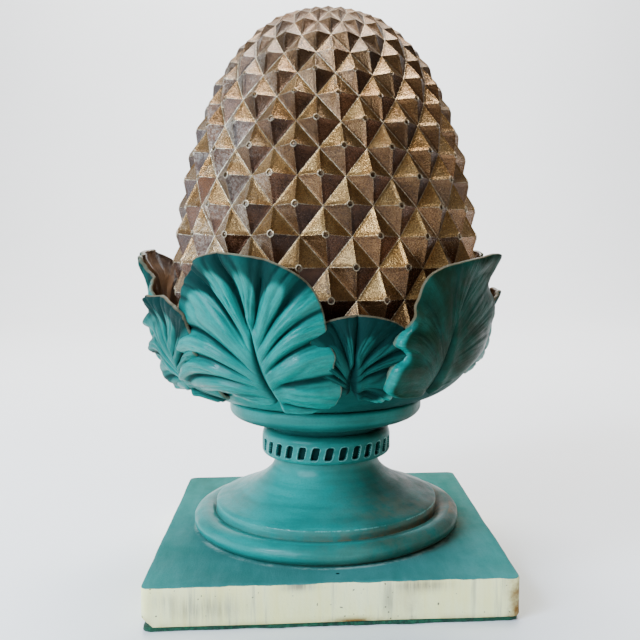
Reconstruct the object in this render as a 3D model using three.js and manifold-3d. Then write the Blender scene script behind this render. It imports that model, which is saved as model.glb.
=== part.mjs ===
import * as THREE from 'three';
import { mergeVertices } from 'three/addons/utils/BufferGeometryUtils.js';
import Module from 'manifold-3d';

// A cast finial: a scaled pine cone in a calyx of leaves, on a turned socle and a square plinth.
// All lengths are millimetres. +Z is up, -Y is the front, and the origin is under the felt.

// Felt and plinth
const feltThickness = 2.7;
const feltInset = 2.5;
const feltGap = 0.3;
const plinthWidth = 254;
const plinthHeight = 28;
const plinthCornerRadius = 5;
const plinthBevel = 1.4;
const plinthChip = 3.4;
const chipTilt = 52;
const chipTurn = 20;
const chipSet = 0.85;

// Foot of the socle: a fat round moulding, a groove and a sharp band
const footMargin = 20.6;
const torusHeight = 15.4;
const torusBulge = 10.5;
const torusTuck = 58;
const grooveWidth = 3.2;
const grooveDepth = 3;
const bandStep = 17.8;
const bandRise = 6;
const bandEdge = 0.8;

// Flare, neck and slotted ring
const flareHeight = 31;
const flarePower = 1.9;
const flareSteps = 6;
const neckRadius = 41.7;
const neckHeight = 4;
const ringProud = 9.4;
const ringHeight = 22.5;
const slotCount = 30;
const slotWidth = 5.6;
const slotHeight = 9.8;
const slotPoint = 2.2;
const slotDepth = 3.4;
const slotSlant = 9;
const slotDrop = 1.2;
const slotTurn = 1;
const slotMargin = 1.2;

// Dish above the ring
const stepProud = 4.2;
const stepHeight = 3;
const dishOverhang = 34.5;
const throatReach = 15.6;
const throatRise = 5.3;
const dishLipRise = 8.4;
const dishRimHeight = 7;
const dishRimRound = 2;

// Cone: an egg of revolution that carries the scales
const coneRadius = 121;
const coneSink = 11;
const coneBelly = 82;
const coneCrown = 228;
const coneFullness = 2.42;
const coneShoulder = 2.05;
const coneLean = 0.9;

// Scales: rings of four-sided pyramids, each ring half a step on from the last
const scalesPerRow = 20;
const scaleRows = 16;
const scaleSkirt = 31.5;
const rowShrink = 0.626;
const rowTwist = -0.86;
const scalePhase = -2.3;
const phaseRow = 4;
const scaleDepth = 8.5;
const dimpleRadius = 2.7;
const dimpleDepth = 2;
const dimpledRows = { first: 2, last: 9 };

// Calyx: a solid cup under the leaves, and the sheet that the leaves lie on
const cupRoot = 71;
const cupSwell = 60;
const cupRise = 62;
const cupReach = 200;
const cupPower = 2.2;
const cupWall = 7;
const cupFill = 45;
const cupSink = 2;

// Leaves
const leafCount = 5;
const leafRootExtra = 8;
const leafCorner = 2.7;
const leafSweep = 1.78;
const leafBend = 1.2;
const edgeNotch = 0.045;
const notchSpan = { from: 0.15, to: 0.6 };
const curlSpan = { from: 0.7, to: 1.05 };
const foldFull = 0.5;
const foldFade = 0.35;
const foldRound = 0.8;
const firstLeafAzimuth = -24.8;
const bigLeaf = { root: 36, length: 112, half: 61, thickness: 5, proud: 2.4, curl: 6, pleats: 5, depth: 4.6 };
const smallLeaf = { root: 34, length: 82, half: 38, thickness: 4, proud: -4, curl: 4, pleats: 4, depth: 3.6 };
const bigRows = [0.15, 0.5, 0.82, 1];
const smallRows = [0.15, 0.6, 1];
const rootShifts = [17, -30, 12, -16, 22];
const smallRootShift = -6;
const ruffles = [2, 6, 4, 3, 7];
const rufflePhase = 1.7;

const deg = Math.PI / 180;
const footRadius = plinthWidth / 2 - footMargin;
const bandRadius = footRadius - bandStep;
const dishRadius = neckRadius + dishOverhang;
const ringRadius = neckRadius + ringProud;
const stepRadius = neckRadius + stepProud;

const plinthBottom = feltThickness + feltGap;
const plinthTop = plinthBottom + plinthHeight;
const bandTop = plinthTop + torusHeight + bandRise;
const neckBottom = bandTop + flareHeight;
const ringBottom = neckBottom + neckHeight;
const ringTop = ringBottom + ringHeight;
const slotMiddle = (ringBottom + ringTop) / 2 - slotDrop;
const stepTop = ringTop + stepHeight;
const dishRimBottom = stepTop + throatRise + dishLipRise;
const dishTop = dishRimBottom + dishRimHeight;
const coneBottom = dishTop - coneSink;
const bellyHeight = coneBottom + coneBelly;

const lathePieces = slotCount;
const cupPieces = 20;
const wasm = await Module();
wasm.setup();

// Turns a closed three.js geometry into a solid that can be joined and cut
function solidOf(geometry) {
  const bare = geometry.clone();
  bare.deleteAttribute('normal');
  bare.deleteAttribute('uv');
  const merged = mergeVertices(bare, 1e-4);
  const mesh = new wasm.Mesh({
    numProp: 3,
    vertProperties: new Float32Array(merged.attributes.position.array),
    triVerts: new Uint32Array(merged.index.array),
  });
  return new wasm.Manifold(mesh);
}

// Turns a solid back into a three.js geometry
function geometryOf(solid) {
  const { vertProperties, triVerts } = solid.getMesh();
  const geometry = new THREE.BufferGeometry();
  geometry.setAttribute('position', new THREE.BufferAttribute(vertProperties, 3));
  geometry.setIndex(new THREE.BufferAttribute(triVerts, 1));
  return geometry;
}

// A geometry from a list of points and a list of triangles
function geometryFrom(points, triangles) {
  const geometry = new THREE.BufferGeometry();
  geometry.setAttribute('position', new THREE.Float32BufferAttribute(points.flat(), 3));
  geometry.setIndex(triangles.flat());
  return geometry;
}

// Points on an elliptical arc in the profile plane, as [radius, height]
function profileArc(centre, radii, fromDegrees, toDegrees, steps) {
  return Array.from({ length: steps + 1 }, (_, i) => {
    const angle = (fromDegrees + ((toDegrees - fromDegrees) * i) / steps) * deg;
    return [centre[0] + radii[0] * Math.cos(angle), centre[1] + radii[1] * Math.sin(angle)];
  });
}

// A solid turned from [radius, height] points that start and end on the axis, a facet at each slot
function turned(points, pieces = lathePieces) {
  const profile = points.map(([radius, height]) => new THREE.Vector2(radius, height));
  const body = new THREE.LatheGeometry(profile, pieces).rotateX(Math.PI / 2);
  return solidOf(body.rotateZ(slotTurn * deg + Math.PI / pieces));
}

// A square with rounded corners, standing on the given height
function roundedSlab(width, cornerRadius, bottom, height, bevel) {
  const half = width / 2 - bevel;
  const corner = Math.max(cornerRadius - bevel, 0.1);
  const outline = new THREE.Shape();
  outline.absarc(half - corner, half - corner, corner, 0, 90 * deg);
  outline.absarc(corner - half, half - corner, corner, 90 * deg, 180 * deg);
  outline.absarc(corner - half, corner - half, corner, 180 * deg, 270 * deg);
  outline.absarc(half - corner, corner - half, corner, 270 * deg, 360 * deg);
  const options = { depth: height - 2 * bevel, curveSegments: 2, bevelEnabled: bevel > 0 };
  options.bevelSize = bevel;
  options.bevelThickness = bevel;
  options.bevelSegments = 1;
  return new THREE.ExtrudeGeometry(outline, options).translate(0, 0, bottom + bevel);
}

// The plinth slab, with one chipped bottom corner at the front left
function plinth() {
  const slab = roundedSlab(plinthWidth, plinthCornerRadius, plinthBottom, plinthHeight, plinthBevel);
  const chipSide = plinthChip * Math.SQRT2 * 4;
  const wedge = new THREE.BoxGeometry(chipSide, chipSide, plinthChip * 2);
  wedge.rotateY(-chipTilt * deg);
  wedge.rotateZ(chipTurn * deg);
  wedge.translate(-plinthWidth / 2 - chipSet, -plinthWidth / 2, plinthBottom - chipSet);
  return solidOf(slab).subtract(solidOf(wedge));
}

// A point of the trumpet flare, t being the share of its height above the band
function flarePoint(t) {
  const radius = neckRadius + (bandRadius - neckRadius) * (1 - t) ** flarePower;
  return [radius, bandTop + flareHeight * t];
}

// The turned socle: foot, band, flare, neck, ring and dish
function socle() {
  const torusCentre = [footRadius - torusBulge, plinthTop + torusHeight / 2];
  const torus = profileArc(torusCentre, [torusBulge, torusHeight / 2], -torusTuck, 90, 5);
  const groove = [
    [bandRadius + grooveWidth, plinthTop + torusHeight],
    [bandRadius, plinthTop + torusHeight - grooveDepth],
  ];
  const flare = Array.from({ length: flareSteps + 1 }, (_, i) => flarePoint(i / flareSteps));
  const flatBottom = slotMiddle - slotHeight / 2 - slotMargin;
  const flatTop = slotMiddle + slotHeight / 2 + slotMargin;
  const ring = [
    [neckRadius, ringBottom],
    ...profileArc([neckRadius, flatBottom], [ringProud, ringBottom - flatBottom], 45, 0, 2),
    ...profileArc([stepRadius, flatTop], [ringRadius - stepRadius, ringTop - flatTop], 0, 90, 2),
  ];
  const throat = [stepRadius + throatReach, stepTop + throatRise];
  const cavetto = profileArc([throat[0], stepTop], [-throatReach, throatRise], 0, 90, 2);
  const lip = profileArc([throat[0], dishRimBottom], [dishRadius - throat[0], -dishLipRise], 60, 0, 2);
  const rimCentre = [dishRadius - dishRimRound, dishTop - dishRimRound];
  const rim = profileArc(rimCentre, [dishRimRound, dishRimRound], 0, 90, 2);
  const inside = plinthTop - plinthHeight / 2;
  const foot = [[0, inside], [torus[0][0], inside], ...torus, ...groove, [bandRadius, bandTop - bandEdge]];
  return turned([...foot, ...flare, ...ring, ...cavetto, ...lip, ...rim, [0, dishTop]]);
}

// One slanted slot with pointed-round ends, standing in the ring at the given turn
function slotCutter(turn) {
  const halfWidth = slotWidth / 2;
  const halfHeight = slotHeight / 2;
  const shoulder = halfHeight - slotPoint;
  const outline = new THREE.Shape();
  outline.moveTo(halfWidth, -shoulder);
  outline.lineTo(halfWidth, shoulder);
  outline.lineTo(0, halfHeight);
  outline.lineTo(-halfWidth, shoulder);
  outline.lineTo(-halfWidth, -shoulder);
  outline.lineTo(0, -halfHeight);
  const cutter = new THREE.ExtrudeGeometry(outline, { depth: slotDepth * 2, bevelEnabled: false });
  cutter.rotateZ(-slotSlant * deg);
  cutter.rotateX(90 * deg);
  cutter.translate(0, slotDepth - ringRadius, slotMiddle);
  return solidOf(cutter.rotateZ(turn));
}

// Cone profile: an ellipse below the belly and a fuller curve above it, by an angle from -90 to 90
function conePoint(angle) {
  if (angle < 0) {
    return [coneRadius * Math.cos(angle), bellyHeight + coneBelly * Math.sin(angle)];
  }
  const radius = coneRadius * Math.abs(Math.cos(angle)) ** (2 / coneFullness);
  return [radius, bellyHeight + coneCrown * Math.sin(angle) ** (2 / coneShoulder)];
}

// Calyx profile: a cup that swells fast at its root and then stands upright
function cupPoint(rise) {
  const left = Math.max(1 - rise / cupRise, 0);
  return [cupRoot + cupSwell * Math.sqrt(1 - left ** cupPower), dishTop + rise];
}

// A profile that can be asked for its point and outward normal at a length along it
function measuredProfile(pointAt, from, to, samples) {
  const points = Array.from({ length: samples + 1 }, (_, i) => pointAt(from + ((to - from) * i) / samples));
  const lengths = [0];
  for (let i = 1; i <= samples; i += 1) {
    const step = Math.hypot(points[i][0] - points[i - 1][0], points[i][1] - points[i - 1][1]);
    lengths.push(lengths[i - 1] + step);
  }
  const at = (length) => {
    let i = lengths.findIndex((value) => value >= length);
    i = Math.min(Math.max(i < 0 ? samples : i, 1), samples);
    const share = (length - lengths[i - 1]) / (lengths[i] - lengths[i - 1]);
    const [r0, z0] = points[i - 1];
    const [r1, z1] = points[i];
    const run = Math.hypot(r1 - r0, z1 - z0);
    return {
      radius: r0 + (r1 - r0) * share,
      height: z0 + (z1 - z0) * share,
      outward: [(z1 - z0) / run, -(r1 - r0) / run],
    };
  };
  return { at, total: lengths[samples] };
}

// A point off a profile, moved out along its normal and turned to an azimuth from the front
function placeOn(profile, length, offset, azimuth) {
  const { radius, height, outward } = profile.at(length);
  const reach = Math.max(radius + outward[0] * offset, 0);
  return [reach * Math.sin(azimuth), -reach * Math.cos(azimuth), height + outward[1] * offset];
}

function mix(a, b, share) {
  return a.map((value, i) => value + (b[i] - value) * share);
}

function distance(a, b) {
  return Math.hypot(...a.map((value, i) => value - b[i]));
}

function middleOf(points) {
  return [0, 1, 2].map((axis) => points.reduce((sum, point) => sum + point[axis], 0) / points.length);
}

// The cone: rings of pyramids whose corners lie a scale's depth under their tips
function cone() {
  const lower = measuredProfile(conePoint, -Math.PI / 2, 0, 90).total;
  const profile = measuredProfile(conePoint, -Math.PI / 2, Math.PI / 2, 400);
  const start = lower - scaleSkirt;
  const span = profile.total - start;
  const steps = scaleRows + 1;
  const slack = (1 - rowShrink) / 2;
  const rowLength = (row) => start + (span * (row - (slack * row * row) / steps)) / (steps * (1 - slack));
  const pitch = 360 / scalesPerRow;
  const stagger = (row) => (Math.abs(row - phaseRow) % 2) / 2;
  const azimuth = (row, k) => (scalePhase + rowTwist * (row - phaseRow) + pitch * (k + stagger(row))) * deg;
  const points = [];
  const add = (point) => points.push(point) - 1;
  const wrap = (k) => (k + scalesPerRow) % scalesPerRow;
  const valley = (row) => {
    const length = rowLength(row);
    const depth = scaleDepth * Math.sqrt(profile.at(length).radius / coneRadius);
    return Array.from({ length: scalesPerRow }, (_, k) =>
      add(placeOn(profile, length, -depth, azimuth(row, k + 0.5))));
  };
  const corners = Array.from({ length: scaleRows + 1 }, (_, row) => valley(row));
  const pole = add([0, 0, profile.at(profile.total).height]);
  const cornerAt = (row, k) => (row > scaleRows ? pole : corners[row][wrap(k)]);
  const triangles = [];
  for (let row = 1; row <= scaleRows; row += 1) {
    const dimpled = row >= dimpledRows.first && row <= dimpledRows.last;
    for (let k = 0; k < scalesPerRow; k += 1) {
      const across = stagger(row) === 0 ? k - 1 : k;
      const sides = [cornerAt(row, k), cornerAt(row, k - 1)];
      const rim = [sides[0], cornerAt(row + 1, across), sides[1], cornerAt(row - 1, across)];
      const tip = placeOn(profile, rowLength(row), 0, azimuth(row, k));
      addScale(rim, tip, dimpled, add, points, triangles);
    }
  }
  const bottom = add([0, 0, coneBottom]);
  for (let k = 0; k < scalesPerRow; k += 1) {
    const above = stagger(1) === 0 ? k + 1 : k;
    triangles.push([cornerAt(0, k), cornerAt(0, k + 1), cornerAt(1, above)]);
    triangles.push([cornerAt(0, k + 1), cornerAt(0, k), bottom]);
  }
  const lean = new THREE.Matrix4().makeRotationY(coneLean * deg);
  const body = geometryFrom(points, triangles).translate(0, 0, -dishTop);
  return solidOf(body.applyMatrix4(lean).translate(0, 0, dishTop));
}

// One pyramid over its four corners, with its tip or with a small pit in place of the tip
function addScale(rim, tip, dimpled, add, points, triangles) {
  if (!dimpled) {
    const apex = add(tip);
    rim.forEach((corner, i) => triangles.push([corner, rim[(i + 1) % 4], apex]));
    return;
  }
  const collar = rim.map((corner) => {
    const foot = points[corner];
    return add(mix(tip, foot, dimpleRadius / distance(tip, foot)));
  });
  const centre = middleOf(collar.map((i) => points[i]));
  const base = middleOf(rim.map((i) => points[i]));
  const pit = add(mix(centre, base, dimpleDepth / distance(centre, base)));
  rim.forEach((corner, i) => {
    const next = (i + 1) % 4;
    triangles.push([corner, rim[next], collar[i]]);
    triangles.push([rim[next], collar[next], collar[i]]);
    triangles.push([collar[i], collar[next], pit]);
  });
}

// The solid cup that carries the leaves and closes the gap between the dish and the cone
function cupCore() {
  const wallPoints = [0, 0.08, 0.4, 1].map((share, i) => {
    const [radius, height] = cupPoint(cupFill * share);
    return [radius - cupWall, height - (i === 0 ? cupSink : 0)];
  });
  return turned([[0, dishTop - cupSink], ...wallPoints, [0, dishTop + cupFill]], cupPieces);
}

function smoothRise(value, from, to) {
  const t = Math.min(Math.max((value - from) / (to - from), 0), 1);
  return t * t * (3 - 2 * t);
}

// A point of a leaf: u runs across it from -1 to 1, v from its root to its margin
function leafPoint(leaf, profile, u, v, inner) {
  const turn = Math.abs(u) * leafSweep;
  const power = 2 / leafCorner;
  const ridge = Math.abs(Math.sin(Math.PI * u * leaf.pleats));
  const notch = 1 - edgeNotch * (1 - ridge) * smoothRise(Math.abs(u), notchSpan.from, notchSpan.to);
  const across = Math.sign(u) * leaf.half * Math.sin(turn) ** power * v ** leafBend * notch;
  const rise = Math.sign(Math.cos(turn)) * Math.abs(Math.cos(turn)) ** power * v * notch;
  const side = across + leaf.rootShift * (1 - v);
  const height = leaf.root + leaf.length * rise;
  const fade = smoothRise(v, 0, foldFull) * (1 - foldFade * v);
  const fold = leaf.depth * (ridge ** foldRound - 0.5) * fade;
  const curl = leaf.curl * smoothRise(rise, curlSpan.from, curlSpan.to);
  const swing = Math.sin((Math.PI * leaf.pleats * u) / 2 + leaf.phase);
  const wave = leaf.ruffle * (u * v * swing) ** 2;
  const thickness = leaf.thickness + leafRootExtra * (1 - v) ** 2;
  const offset = leaf.proud + curl + wave + (inner ? -thickness : fold);
  return placeOn(profile, height, offset, leaf.azimuth + side / (cupRoot + cupSwell));
}

// A leaf: a pleated outer sheet and a smooth inner one with half its columns, joined round the edge
function leafBody(leaf, profile, rows) {
  const folds = leaf.pleats * 2;
  const points = [];
  const sheet = (columns, inner) => rows.map((v) =>
    Array.from({ length: columns + 1 }, (_, i) =>
      points.push(leafPoint(leaf, profile, -1 + (2 * i) / columns, v, inner)) - 1));
  const outer = sheet(folds * 2, false);
  const inner = sheet(folds, true);
  const triangles = [];
  const quad = (a, b, c, d) => triangles.push([a, b, c], [a, c, d]);
  for (let row = 0; row + 1 < rows.length; row += 1) {
    for (let i = 0; i < folds * 2; i += 1) {
      quad(outer[row][i], outer[row][i + 1], outer[row + 1][i + 1], outer[row + 1][i]);
    }
    for (let i = 0; i < folds; i += 1) {
      quad(inner[row][i + 1], inner[row][i], inner[row + 1][i], inner[row + 1][i + 1]);
    }
    const end = folds * 2;
    quad(inner[row][0], outer[row][0], outer[row + 1][0], inner[row + 1][0]);
    quad(outer[row][end], inner[row][folds], inner[row + 1][folds], outer[row + 1][end]);
  }
  const seam = (out, back, flip) => {
    for (let i = 0; i < folds; i += 1) {
      const [first, middle, last] = out.slice(2 * i, 2 * i + 3);
      const strip = [[first, middle, back[i]], [middle, back[i + 1], back[i]], [middle, last, back[i + 1]]];
      strip.forEach(([a, b, c]) => triangles.push(flip ? [a, b, c] : [a, c, b]));
    }
  };
  seam(outer[0], inner[0], false);
  seam(outer[rows.length - 1], inner[rows.length - 1], true);
  return solidOf(geometryFrom(points, triangles));
}

// Both rings of leaves: small ones behind, and big ones over their edges
function leaves() {
  const profile = measuredProfile(cupPoint, 0, cupReach, 400);
  const spacing = 360 / leafCount;
  const bodies = [];
  for (let i = 0; i < leafCount; i += 1) {
    const azimuth = (firstLeafAzimuth + spacing * i) * deg;
    const big = { ...bigLeaf, azimuth, rootShift: rootShifts[i], ruffle: ruffles[i], phase: i * rufflePhase };
    const still = { rootShift: smallRootShift, ruffle: 0, phase: 0 };
    const small = { ...smallLeaf, ...still, azimuth: azimuth + (spacing / 2) * deg };
    bodies.push(leafBody(big, profile, bigRows));
    bodies.push(leafBody(small, profile, smallRows));
  }
  return bodies;
}

// The casting: plinth, socle, cone and leaves in one piece
function casting() {
  let turnedPart = socle();
  for (let i = 0; i < slotCount; i += 1) {
    turnedPart = turnedPart.subtract(slotCutter(slotTurn * deg + (i * 2 * Math.PI) / slotCount));
  }
  let body = plinth().add(turnedPart).add(cupCore()).add(cone());
  for (const leaf of leaves()) {
    body = body.add(leaf);
  }
  return geometryOf(withoutPockets(body));
}

// Fills the closed pockets that the casting would have behind its leaves
function withoutPockets(body) {
  const shells = body.decompose().filter((shell) => shell.volume() > 0);
  return shells.reduce((whole, shell) => whole.add(shell));
}

function named(name, geometry, color, roughness, metalness) {
  const finish = new THREE.MeshStandardMaterial({ color, roughness, metalness });
  const mesh = new THREE.Mesh(geometry, finish);
  mesh.name = name;
  return mesh;
}

const feltPad = roundedSlab(plinthWidth - 2 * feltInset, plinthCornerRadius, 0, feltThickness, 0);

const group = new THREE.Group();
group.add(named('finial_casting', casting(), 0x2f8f86, 0.5, 0.1));
group.add(named('felt_pad', feltPad, 0x1d6b3f, 0.95, 0));

export default group;
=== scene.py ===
"""Looks of the cast pine cone finial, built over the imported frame.

Shapes are worked out in millimetres in the row frame, +Z up and -Y the front,
and are stored in metres. Azimuths run from the front, positive to the right.
"""

import logging
import math
from dataclasses import dataclass, field, replace
from enum import Enum

import bpy
import numpy as np
from mathutils import Matrix, Vector


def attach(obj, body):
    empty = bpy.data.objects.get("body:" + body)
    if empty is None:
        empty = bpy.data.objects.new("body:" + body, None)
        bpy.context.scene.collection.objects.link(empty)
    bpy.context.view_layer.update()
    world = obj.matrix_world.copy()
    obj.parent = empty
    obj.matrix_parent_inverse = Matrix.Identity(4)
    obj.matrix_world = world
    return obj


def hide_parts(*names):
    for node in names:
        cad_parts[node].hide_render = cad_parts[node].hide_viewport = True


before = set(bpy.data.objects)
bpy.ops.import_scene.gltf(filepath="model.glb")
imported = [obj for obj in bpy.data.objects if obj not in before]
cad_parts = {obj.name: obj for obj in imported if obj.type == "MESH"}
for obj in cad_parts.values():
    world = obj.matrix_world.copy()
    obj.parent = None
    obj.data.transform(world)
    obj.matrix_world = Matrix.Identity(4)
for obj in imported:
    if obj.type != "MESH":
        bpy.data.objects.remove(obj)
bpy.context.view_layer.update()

LOG = logging.getLogger("finial")
# Metres in a millimetre, and the distance in millimetres under which points become one.
MM = 0.001
WELD = 0.002
# Distance in millimetres that counts as far from every edge.
FAR = 9.0
# Nodes that the pieces replace.
CASTING = "finial_casting"
FELT = "felt_pad"

Array = np.ndarray
Pair = tuple[float, float]
Triple = tuple[float, float, float]
Colour = Triple


def shade(red: int, green: int, blue: int) -> Colour:
    """Turns a colour of 0 to 255 per channel, as seen, into linear light.

    Args:
        red: Red, 0 to 255.
        green: Green, 0 to 255.
        blue: Blue, 0 to 255.

    Returns:
        The linear colour, 0 to 1 per channel.
    """
    seen = np.array([red, green, blue]) / 255
    linear = np.where(seen <= 0.04045, seen / 12.92, ((seen + 0.055) / 1.055) ** 2.4)
    return tuple(float(value) for value in linear)


def rise(value: Array, start: float, end: float) -> Array:
    """Goes smoothly from 0 at start to 1 at end: 3 t squared minus 2 t cubed."""
    share = np.clip((value - start) / (end - start), 0, 1)
    return share * share * (3 - 2 * share)


def bell(value: Array, width: float) -> Array:
    """A bell: 1 where the value is 0, and 1/e where it is the width."""
    return np.exp(-((value / width) ** 2))


def unit(vectors: Array) -> Array:
    """Scales vectors to length one: each is divided by its own length."""
    return vectors / np.maximum(np.linalg.norm(vectors, axis=-1, keepdims=True), 1e-9)


def ripple(points: Array, wavelength: float, seed: int) -> Array:
    """A smooth random unevenness: the mean of eight sine waves in random directions.

    Args:
        points: Places, one row each, in millimetres.
        wavelength: Length of the waves, in millimetres.
        seed: Number that fixes the directions and phases.

    Returns:
        One value per place, mostly within -1 and 1.
    """
    dice = np.random.default_rng(seed)
    ways = unit(dice.normal(size=(8, 3))) * dice.uniform(0.7, 1.5, (8, 1))
    phases = dice.uniform(0, 2 * math.pi, 8)
    return np.sin(points @ ways.T * (2 * math.pi / wavelength) + phases).mean(-1) * 2


def grid_triangles(rows: int, columns: int, closed: bool = False) -> Array:
    """Splits each cell of a grid of points in two triangles.

    Point (row, column) has the number row times columns plus column.

    Args:
        rows: Rows of points.
        columns: Points in a row.
        closed: True if the last column joins the first.

    Returns:
        Three point numbers per triangle.
    """
    row = np.arange(rows - 1)[:, None]
    column = np.arange(columns if closed else columns - 1)[None, :]
    after = (column + 1) % columns
    a, b = row * columns + column, row * columns + after
    c, d = (row + 1) * columns + after, (row + 1) * columns + column
    halves = [np.stack([a, b, c], -1), np.stack([a, c, d], -1)]
    return np.concatenate([half.reshape(-1, 3) for half in halves])


def smooth_line(knots: Array, shares: Array) -> Array:
    """Runs a smooth line through knots: a cubic per span with the slopes of its neighbours.

    Args:
        knots: Points that the line passes, one row each.
        shares: Places along the line, as shares of its length from 0 to 1.

    Returns:
        One point per share.
    """
    steps = np.linalg.norm(np.diff(knots[:, :2], axis=0), axis=1)
    along = np.concatenate([[0.0], np.cumsum(steps)]) / steps.sum()
    slopes = np.gradient(knots, along, axis=0)
    span = np.clip(np.searchsorted(along, shares, side="right") - 1, 0, len(along) - 2)
    width = (along[span + 1] - along[span])[:, None]
    t = (shares - along[span])[:, None] / width
    start = (2 * t**3 - 3 * t**2 + 1) * knots[span] + (t**3 - 2 * t**2 + t) * width * slopes[span]
    end = (3 * t**2 - 2 * t**3) * knots[span + 1] + (t**3 - t**2) * width * slopes[span + 1]
    return start + end


def arc(centre: Pair, radii: Pair, start: float, end: float, steps: int) -> Array:
    """Points on part of an ellipse: centre plus radii times cosine and sine of the angle."""
    angles = np.radians(np.linspace(start, end, steps + 1))
    return np.array(centre) + np.array(radii) * np.stack([np.cos(angles), np.sin(angles)], -1)


def eased(line: Array, reach: float) -> Array:
    """Takes the sharpness off each corner of a line: it is cut at reach before and after it.

    Args:
        line: Points of the line.
        reach: Length of the cut on each side, at most 40% of the span there.

    Returns:
        The line with two points for each inner corner.
    """
    spans = np.diff(line, axis=0)
    lengths = np.linalg.norm(spans, axis=1)
    shares = np.minimum(reach / np.maximum(lengths, 1e-6), 0.4)[:, None]
    before = line[1:-1] - spans[:-1] * shares[:-1]
    after = line[1:-1] + spans[1:] * shares[1:]
    pairs = np.stack([before, after], 1).reshape(-1, line.shape[1])
    return np.concatenate([line[:1], pairs, line[-1:]])


@dataclass
class Surface:
    """Triangles of one piece, with the values that its finish reads.

    Attributes:
        points: One place per point, in millimetres.
        triangles: Three point numbers per triangle.
        marks: Values per point, by name.
        tones: Values per triangle, by name.
        flow: Two numbers per point that follow the surface, or None.
    """

    points: Array
    triangles: Array
    marks: dict[str, Array] = field(default_factory=dict)
    tones: dict[str, Array] = field(default_factory=dict)
    flow: Array | None = None

    def make(self, name: str, crease: float = 32.0) -> bpy.types.Object:
        """Makes the piece: equal points become one, and faces are turned outwards.

        Args:
            name: Name of the piece.
            crease: Angle in degrees past which an edge is drawn sharp.

        Returns:
            The object, at the origin, with its place in its mesh.
        """
        keys = np.round(self.points / WELD).astype(np.int64)
        _, first, back = np.unique(keys, axis=0, return_index=True, return_inverse=True)
        faces = back.reshape(-1)[self.triangles]
        whole = (faces != np.roll(faces, 1, axis=1)).all(axis=1)
        faces, source = faces[whole], self.triangles[whole]
        points = self.points[first]
        a, b, c = points[faces].transpose(1, 0, 2)
        if np.einsum("ij,ij->", a, np.cross(b, c)) < 0:
            faces, source = faces[:, ::-1], source[:, ::-1]
        mesh = bpy.data.meshes.new(name)
        mesh.from_pydata((points * MM).tolist(), [], faces.tolist())
        for mark, values in self.marks.items():
            layer = mesh.attributes.new(mark, "FLOAT", "POINT")
            layer.data.foreach_set("value", values[first].astype(np.float32))
        for tone, values in self.tones.items():
            layer = mesh.attributes.new(tone, "FLOAT", "FACE")
            layer.data.foreach_set("value", values[whole].astype(np.float32))
        if self.flow is not None:
            layer = mesh.uv_layers.new(name="Flow")
            layer.data.foreach_set("uv", self.flow[source].astype(np.float32).reshape(-1))
        mesh.shade_smooth()
        mesh.set_sharp_from_angle(angle=math.radians(crease))
        piece = bpy.data.objects.new(name, mesh)
        bpy.context.scene.collection.objects.link(piece)
        return piece


@dataclass(frozen=True)
class Contour:
    """A profile line that is measured by its own length.

    Attributes:
        radius: Distance from the axis at each sample.
        height: Height of each sample.
    """

    radius: Array
    height: Array

    @property
    def length(self) -> Array:
        """Length from the start to each sample."""
        steps = np.hypot(np.diff(self.radius), np.diff(self.height))
        return np.concatenate([[0.0], np.cumsum(steps)])

    def place(self, length: Array, offset: Array, azimuth: Array) -> Array:
        """Places points off the line: out along its normal, then round the axis.

        Args:
            length: Length along the line.
            offset: Distance out from it.
            azimuth: Turn from the front, in radians.

        Returns:
            One place per length.
        """
        run = self.length
        across = np.interp(length, run, np.gradient(self.height, run))
        up = -np.interp(length, run, np.gradient(self.radius, run))
        size = np.hypot(across, up)
        reach = np.interp(length, run, self.radius) + across / size * offset
        height = np.interp(length, run, self.height) + up / size * offset
        reach = np.maximum(reach, 0)
        return np.stack([reach * np.sin(azimuth), -reach * np.cos(azimuth), height], -1)


def turned(line: Array, columns: int) -> Surface:
    """Turns a line of radius and height round the axis, from axis to axis.

    Args:
        line: Radius and height of each point.
        columns: Points round the axis.

    Returns:
        The closed surface.
    """
    azimuth = np.linspace(0, 2 * math.pi, columns, endpoint=False)
    x = line[:, :1] * np.sin(azimuth)
    y = -line[:, :1] * np.cos(azimuth)
    z = np.broadcast_to(line[:, 1:], x.shape)
    points = np.stack([x, y, z], -1).reshape(-1, 3)
    return Surface(points, grid_triangles(len(line), columns, closed=True))


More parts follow.
